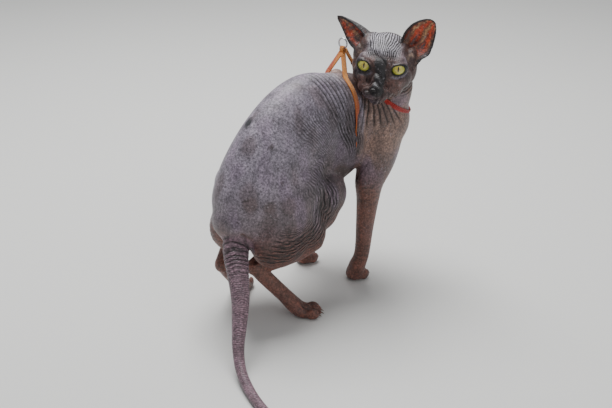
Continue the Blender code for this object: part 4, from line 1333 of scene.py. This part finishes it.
def webbing(name, path, outs, width, thick, cyclic):
    """Flat webbing: a rounded oblong (a superellipse of power 5) carried along a path, flat
    towards the outward directions; the map holds length and breadth in centimetres."""
    before, after = np.roll(path, 1, 0), np.roll(path, -1, 0)
    if not cyclic:
        before[0], after[-1] = path[0], path[-1]
    ahead = unit(after - before)
    outs = unit(outs - ahead * (outs * ahead).sum(1, keepdims=True))
    over = np.cross(ahead, outs)
    turn = np.linspace(0, 2 * pi, 20, endpoint=False)
    a, b = np.cos(turn), np.sin(turn)
    size = (np.abs(a) ** 5 + np.abs(b) ** 5) ** (-1 / 5)
    a, b = a * size * width / 2, b * size * thick / 2
    rings = path[:, None] + a[None, :, None] * over[:, None] + b[None, :, None] * outs[:, None]
    rows, sides = len(path), len(turn)
    faces = grid_faces(rows, sides, loop_rows=cyclic).tolist()
    if not cyclic:
        faces += [list(range(sides))[::-1], list(range((rows - 1) * sides, rows * sides))]
    piece = mesh_piece(name, rings.reshape(-1, 3), faces)
    add_map(piece, "web", 100 * np.stack([np.repeat(passed_along(path), sides), np.tile(a, rows)], axis=1))
    return piece


def webbing_finish(name, colour, width):
    """Woven webbing: slanted twill ribs, thicker selvedge, a row of stitches near each edge, worn
    pale spots, darker along the edges, painted shade in deep red low down and on the cat's far side, and
    fuzz in the bump."""
    n = Nodes(name)
    u, v, _ = n.axes(n.add("ShaderNodeUVMap", uv_map="web").outputs[0])
    half = width * 50
    inside = n.math("ABSOLUTE", v)
    slant = n.math("ADD", n.times(u, 10.0), n.times(inside, 14.0))
    rib = n.math("ABSOLUTE", n.math("SINE", n.times(slant, pi)))
    warp = n.math("ABSOLUTE", n.math("SINE", n.times(v, pi * 14.0)))
    weave = n.times(n.math("ADD", rib, warp), 0.5)
    near_edge = n.spread(inside, half * 0.78, half * 0.92)
    dash = n.spread(n.math("SINE", n.times(u, 2 * pi * 3.2)), -0.2, 0.2)
    off_row = n.math("ABSOLUTE", n.math("SUBTRACT", inside, half * 0.62))
    stitch = n.times(dash, n.math("SUBTRACT", 1.0, n.spread(off_row, 0.012, 0.028)))
    wear = n.noise(55.0, 4.0, 0.6)
    fuzz = n.noise(2400.0, 2.0, 0.6)
    deep = scaled(colour, (0.55, 0.42, 0.5))
    pale = scaled((*colour[:2], colour[2] * 2.2 + 0.02), (1.25, 1.6, 1.0))
    x, _, z = n.axes(n.place())
    # Painted shade: the webbing turns deep red low down and on the cat's far side, where it lies in shade
    far_and_low_shade = n.math("MAXIMUM", n.spread(z, 0.262, 0.232), n.spread(x, SHIFT[0] + 0.002, SHIFT[0] - 0.003))
    red = scaled(colour, (0.52, 0.10, 0.15))
    base = n.mix(n.spread(weave, 0.15, 0.75), deep, n.mix(far_and_low_shade, (*colour, 1), red))
    base = n.mix(n.times(n.spread(wear, 0.52, 0.75), 0.3), base, pale)
    # Darker along each edge
    base = n.mix(n.times(near_edge, 0.45), base, deep)
    base = n.mix(n.times(stitch, 0.6), base, pale)
    raised = n.math("ADD", weave, n.times(stitch, 1.2))
    return n.finish(base, n.spread(wear, 0.3, 0.7, 0.62, 0.82),
                    n.bump(fuzz, 0.0002, 0.4, n.bump(raised, 0.0004)),
                    Sheen_Weight=0.25, Sheen_Roughness=0.4)


def steel_finish():
    """Plated steel: bright with soft scratches and slightly dull patches."""
    n = Nodes("plated_steel")
    scratch = n.noise(1500.0, 4.0, 0.7)
    cloud = n.noise(120.0, 3.0, 0.5)
    steel = n.mix(n.spread(cloud, 0.35, 0.65), (0.52, 0.52, 0.54, 1), (0.74, 0.74, 0.76, 1))
    return n.finish(steel, n.spread(cloud, 0.3, 0.7, 0.18, 0.36), n.bump(scratch, 0.00006, 0.5),
                    Metallic=1.0)


def on_skin(skin, centre, across, upward, count, limit):
    """Points where rays from the centre, turned evenly in a plane, leave the skin, no farther
    than a limit, and the outward direction of each."""
    angles = np.linspace(0, 2 * pi, count, endpoint=False)
    outs = unit(np.cos(angles)[:, None] * across + np.sin(angles)[:, None] * upward)
    points = []
    for out in outs:
        found, place, _, _ = skin.ray_cast(Vector(centre + SHIFT), Vector(out))
        if not found:
            raise RuntimeError("a strap misses the skin")
        reach = min(np.linalg.norm(np.array(place) - SHIFT - centre), limit)
        points.append(centre + out * reach)
    return np.array(points), outs


def girth_path(skin):
    """The girth strap's middle line and outward directions: on the skin round the chest, from
    both sides of the back straight up to the ring, sinking edge-on into the right armpit."""
    peak = STRAP_PEAK
    points, outs = on_skin(skin, GIRTH_CENTRE, np.array((1.0, 0, 0)), np.array((0, GIRTH_LEAN, 1.0)),
                           220, GIRTH_REACH)
    keep = (np.abs(points[:, 0] - GIRTH_CENTRE[0]) > 0.014) | (points[:, 2] < GIRTH_CENTRE[2])
    points, outs = points[keep], outs[keep]
    left = np.argmin(np.where(points[:, 0] < peak[0], np.linalg.norm(points - peak, axis=1), 1.0))
    points, outs = np.roll(points, -left, 0), np.roll(outs, -left, 0)
    points[:, 1] -= girth_shift(points[:, 2])
    sunk = (points[:, 0] > 0.02) * (1 - step(points[:, 2], 0.200, 0.238))
    points = points + outs * (0.0006 - 0.0055 * sunk)[:, None]
    outs = outs + np.array((0, 1.5, 0)) * sunk[:, None]
    shares = np.linspace(0.06, 1, 16)[:, None]
    for foot, share in ((points[-1], shares), (points[0], shares[-2::-1])):
        out = unit(np.cross(peak - foot, (0.0, 1.0, 0.0)))
        out *= np.sign(out[2])
        if foot[0] < peak[0]:
            out = np.array((-0.25, -0.90, 0.30))
        points = np.vstack([points, between(foot, peak, share)])
        outs = np.vstack([outs, np.tile(out, (len(share), 1))])
    return evened(points, outs, 6)


def ring_form(centre, radius, wire, turned, rows=64, sides=16):
    """A wire ring: a circle of the wire's radius carried round a circle in the given plane."""
    turn, round_wire = np.meshgrid(np.linspace(0, 2 * pi, rows, endpoint=False),
                                   np.linspace(0, 2 * pi, sides, endpoint=False), indexing="ij")
    one, two = turned
    out = np.cos(turn)[..., None] * one + np.sin(turn)[..., None] * two
    points = centre + out * (radius + wire * np.cos(round_wire))[..., None]
    points = points + (wire * np.sin(round_wire))[..., None] * np.cross(one, two)
    return points.reshape(-1, 3), turned_over(grid_faces(rows, sides, loop_rows=True)).tolist()


class SPHYNX_OT_harness(bpy.types.Operator):
    """Put on the worn harness: girth strap, collar, neck strap, ring, keepers and slider"""
    bl_idname = "sphynx.harness"
    bl_label = "Harness"

    def execute(self, context):
        skin = bpy.data.objects["skin"]
        context.view_layer.update()
        width = context.scene.cat_sizes.strap_width
        orange = tuple(context.scene.cat_colours.strap)
        bright = webbing_finish("orange_webbing", orange, width)
        red = webbing_finish("red_webbing", scaled(orange, (0.75, 0.16, 0.4))[:3], SLIM_WIDTH)
        steel = steel_finish()
        girth = webbing("girth_strap", *girth_path(skin), width, STRAP_THICK, True)
        pieces = [(girth, bright, "strap", "harness_girth")]
        axis = unit(COLLAR_AXIS)
        across = unit(np.cross(axis, UP))
        points, outs = on_skin(skin, COLLAR_CENTRE, across, np.cross(axis, across), 120, COLLAR_REACH)
        loop = evened(points + outs * 0.0005, outs, 4)
        collar = webbing("collar", *loop, SLIM_WIDTH, STRAP_THICK, True)
        pieces.append((collar, red, "strap", "harness_collar"))
        near_nape = np.argmin(np.linalg.norm(points - NAPE, axis=1))
        foot, out = points[near_nape] + outs[near_nape] * 0.0012, outs[near_nape]
        share = np.linspace(0, 1, 24)[:, None]
        top = STRAP_PEAK + (0.002, 0.003, 0.0005)
        path = between(top, foot, share) + out * 0.0015 * np.sin(pi * share)
        neck_strap = webbing("neck_strap", path, np.tile(out, (len(path), 1)), SLIM_WIDTH, 0.0016, False)
        pieces.append((neck_strap, bright, "strap", "harness_neck_strap"))
        flat = (np.array((1.0, 0, 0)), np.array((0, 0, 1.0)))
        ring = mesh_piece("strap_ring", *ring_form(RING_PLACE, RING_RADIUS, RING_WIRE, flat))
        pieces.append((ring, steel, "ring", "harness_ring"))
        turn = np.linspace(0, 2 * pi, 40, endpoint=False)[:, None]
        low = RING_PLACE - UP * (RING_RADIUS + 0.0012)
        around = np.cos(turn) * UP * 0.0036 + np.sin(turn) * np.array((0, 0.0028, 0))
        keeper = webbing("ring_keeper", low + around, around, SLIM_WIDTH, 0.0010, True)
        pieces.append((keeper, bright, "strap", None))
        ahead = unit(foot - top)
        side = unit(np.cross(ahead, out))
        middle = between(top, foot, 0.55) + out * 0.0016
        bars = [ring_form(middle + ahead * gap, SLIDER_RADIUS, SLIDER_WIRE, (side, ahead))
                for gap in (-0.0016, 0.0016)]
        pieces.append((mesh_piece("slider", *joined(bars)), steel, "ring", None))
        for piece, finish, slot, node in pieces:
            piece.data.materials.append(finish)
            settle(piece)
            if node:
                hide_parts(node)
        return {"FINISHED"}


class SPHYNX_OT_stage(bpy.types.Operator):
    """Plain pale floor, soft lights and the camera"""
    bl_idname = "sphynx.stage"
    bl_label = "Stage"

    def execute(self, context):
        r = FLOOR_REACH
        floor = mesh_piece("floor", [(-r, -r, 0), (r, -r, 0), (r, r, 0), (-r, r, 0)], [(0, 1, 2, 3)])
        matt = Nodes("floor")
        matt.shader.inputs["Base Color"].default_value = (*FLOOR_COLOUR, 1)
        matt.shader.inputs["Roughness"].default_value = FLOOR_ROUGHNESS
        floor.data.materials.append(matt.material)
        lens = bpy.data.cameras.new("camera")
        lens.sensor_width, lens.lens = SENSOR, LENS
        camera = bpy.data.objects.new("camera", lens)
        context.scene.collection.objects.link(camera)
        camera.location = CAMERA_PLACE + SHIFT
        camera.rotation_euler = Vector(CAMERA_AIM).to_track_quat("-Z", "Y").to_euler()
        context.scene.camera = camera
        for name, place, size, power in LIGHTS:
            light = bpy.data.lights.new(name, "AREA")
            light.size, light.energy = size, power
            lamp = bpy.data.objects.new(name, light)
            context.scene.collection.objects.link(lamp)
            lamp.location = place
            lamp.rotation_euler = (Vector(LIGHT_AIM) - lamp.location).to_track_quat("-Z", "Y").to_euler()
        world = bpy.data.worlds.new("studio")
        world.use_nodes = True
        sky = world.node_tree.nodes["Background"]
        sky.inputs["Color"].default_value = WORLD_COLOUR
        sky.inputs["Strength"].default_value = WORLD_STRENGTH
        context.scene.world = world
        return {"FINISHED"}


class SPHYNX_PT_panel(bpy.types.Panel):
    """The cat's pieces, one button each"""
    bl_idname = "SPHYNX_PT_panel"
    bl_label = "Sphynx Cat"
    bl_space_type = "VIEW_3D"
    bl_region_type = "UI"
    bl_category = "Sphynx Cat"

    def draw(self, context):
        for operator in OPERATORS:
            self.layout.operator(operator.bl_idname)


OPERATORS = (SPHYNX_OT_skin, SPHYNX_OT_eyes, SPHYNX_OT_claws, SPHYNX_OT_harness, SPHYNX_OT_stage)
CLASSES = (CatSizes, CatColours) + OPERATORS + (SPHYNX_PT_panel,)


def register():
    """Add the classes and the two groups of settings."""
    for cls in CLASSES:
        bpy.utils.register_class(cls)
    bpy.types.Scene.cat_sizes = bpy.props.PointerProperty(type=CatSizes)
    bpy.types.Scene.cat_colours = bpy.props.PointerProperty(type=CatColours)


def unregister():
    """Take the settings and the classes away."""
    del bpy.types.Scene.cat_sizes
    del bpy.types.Scene.cat_colours
    for cls in reversed(CLASSES):
        bpy.utils.unregister_class(cls)


def main():
    """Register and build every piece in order."""
    register()
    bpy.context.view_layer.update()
    for operator in OPERATORS:
        getattr(bpy.ops.sphynx, operator.bl_idname.split(".")[1])()


if __name__ == "__main__":
    main()
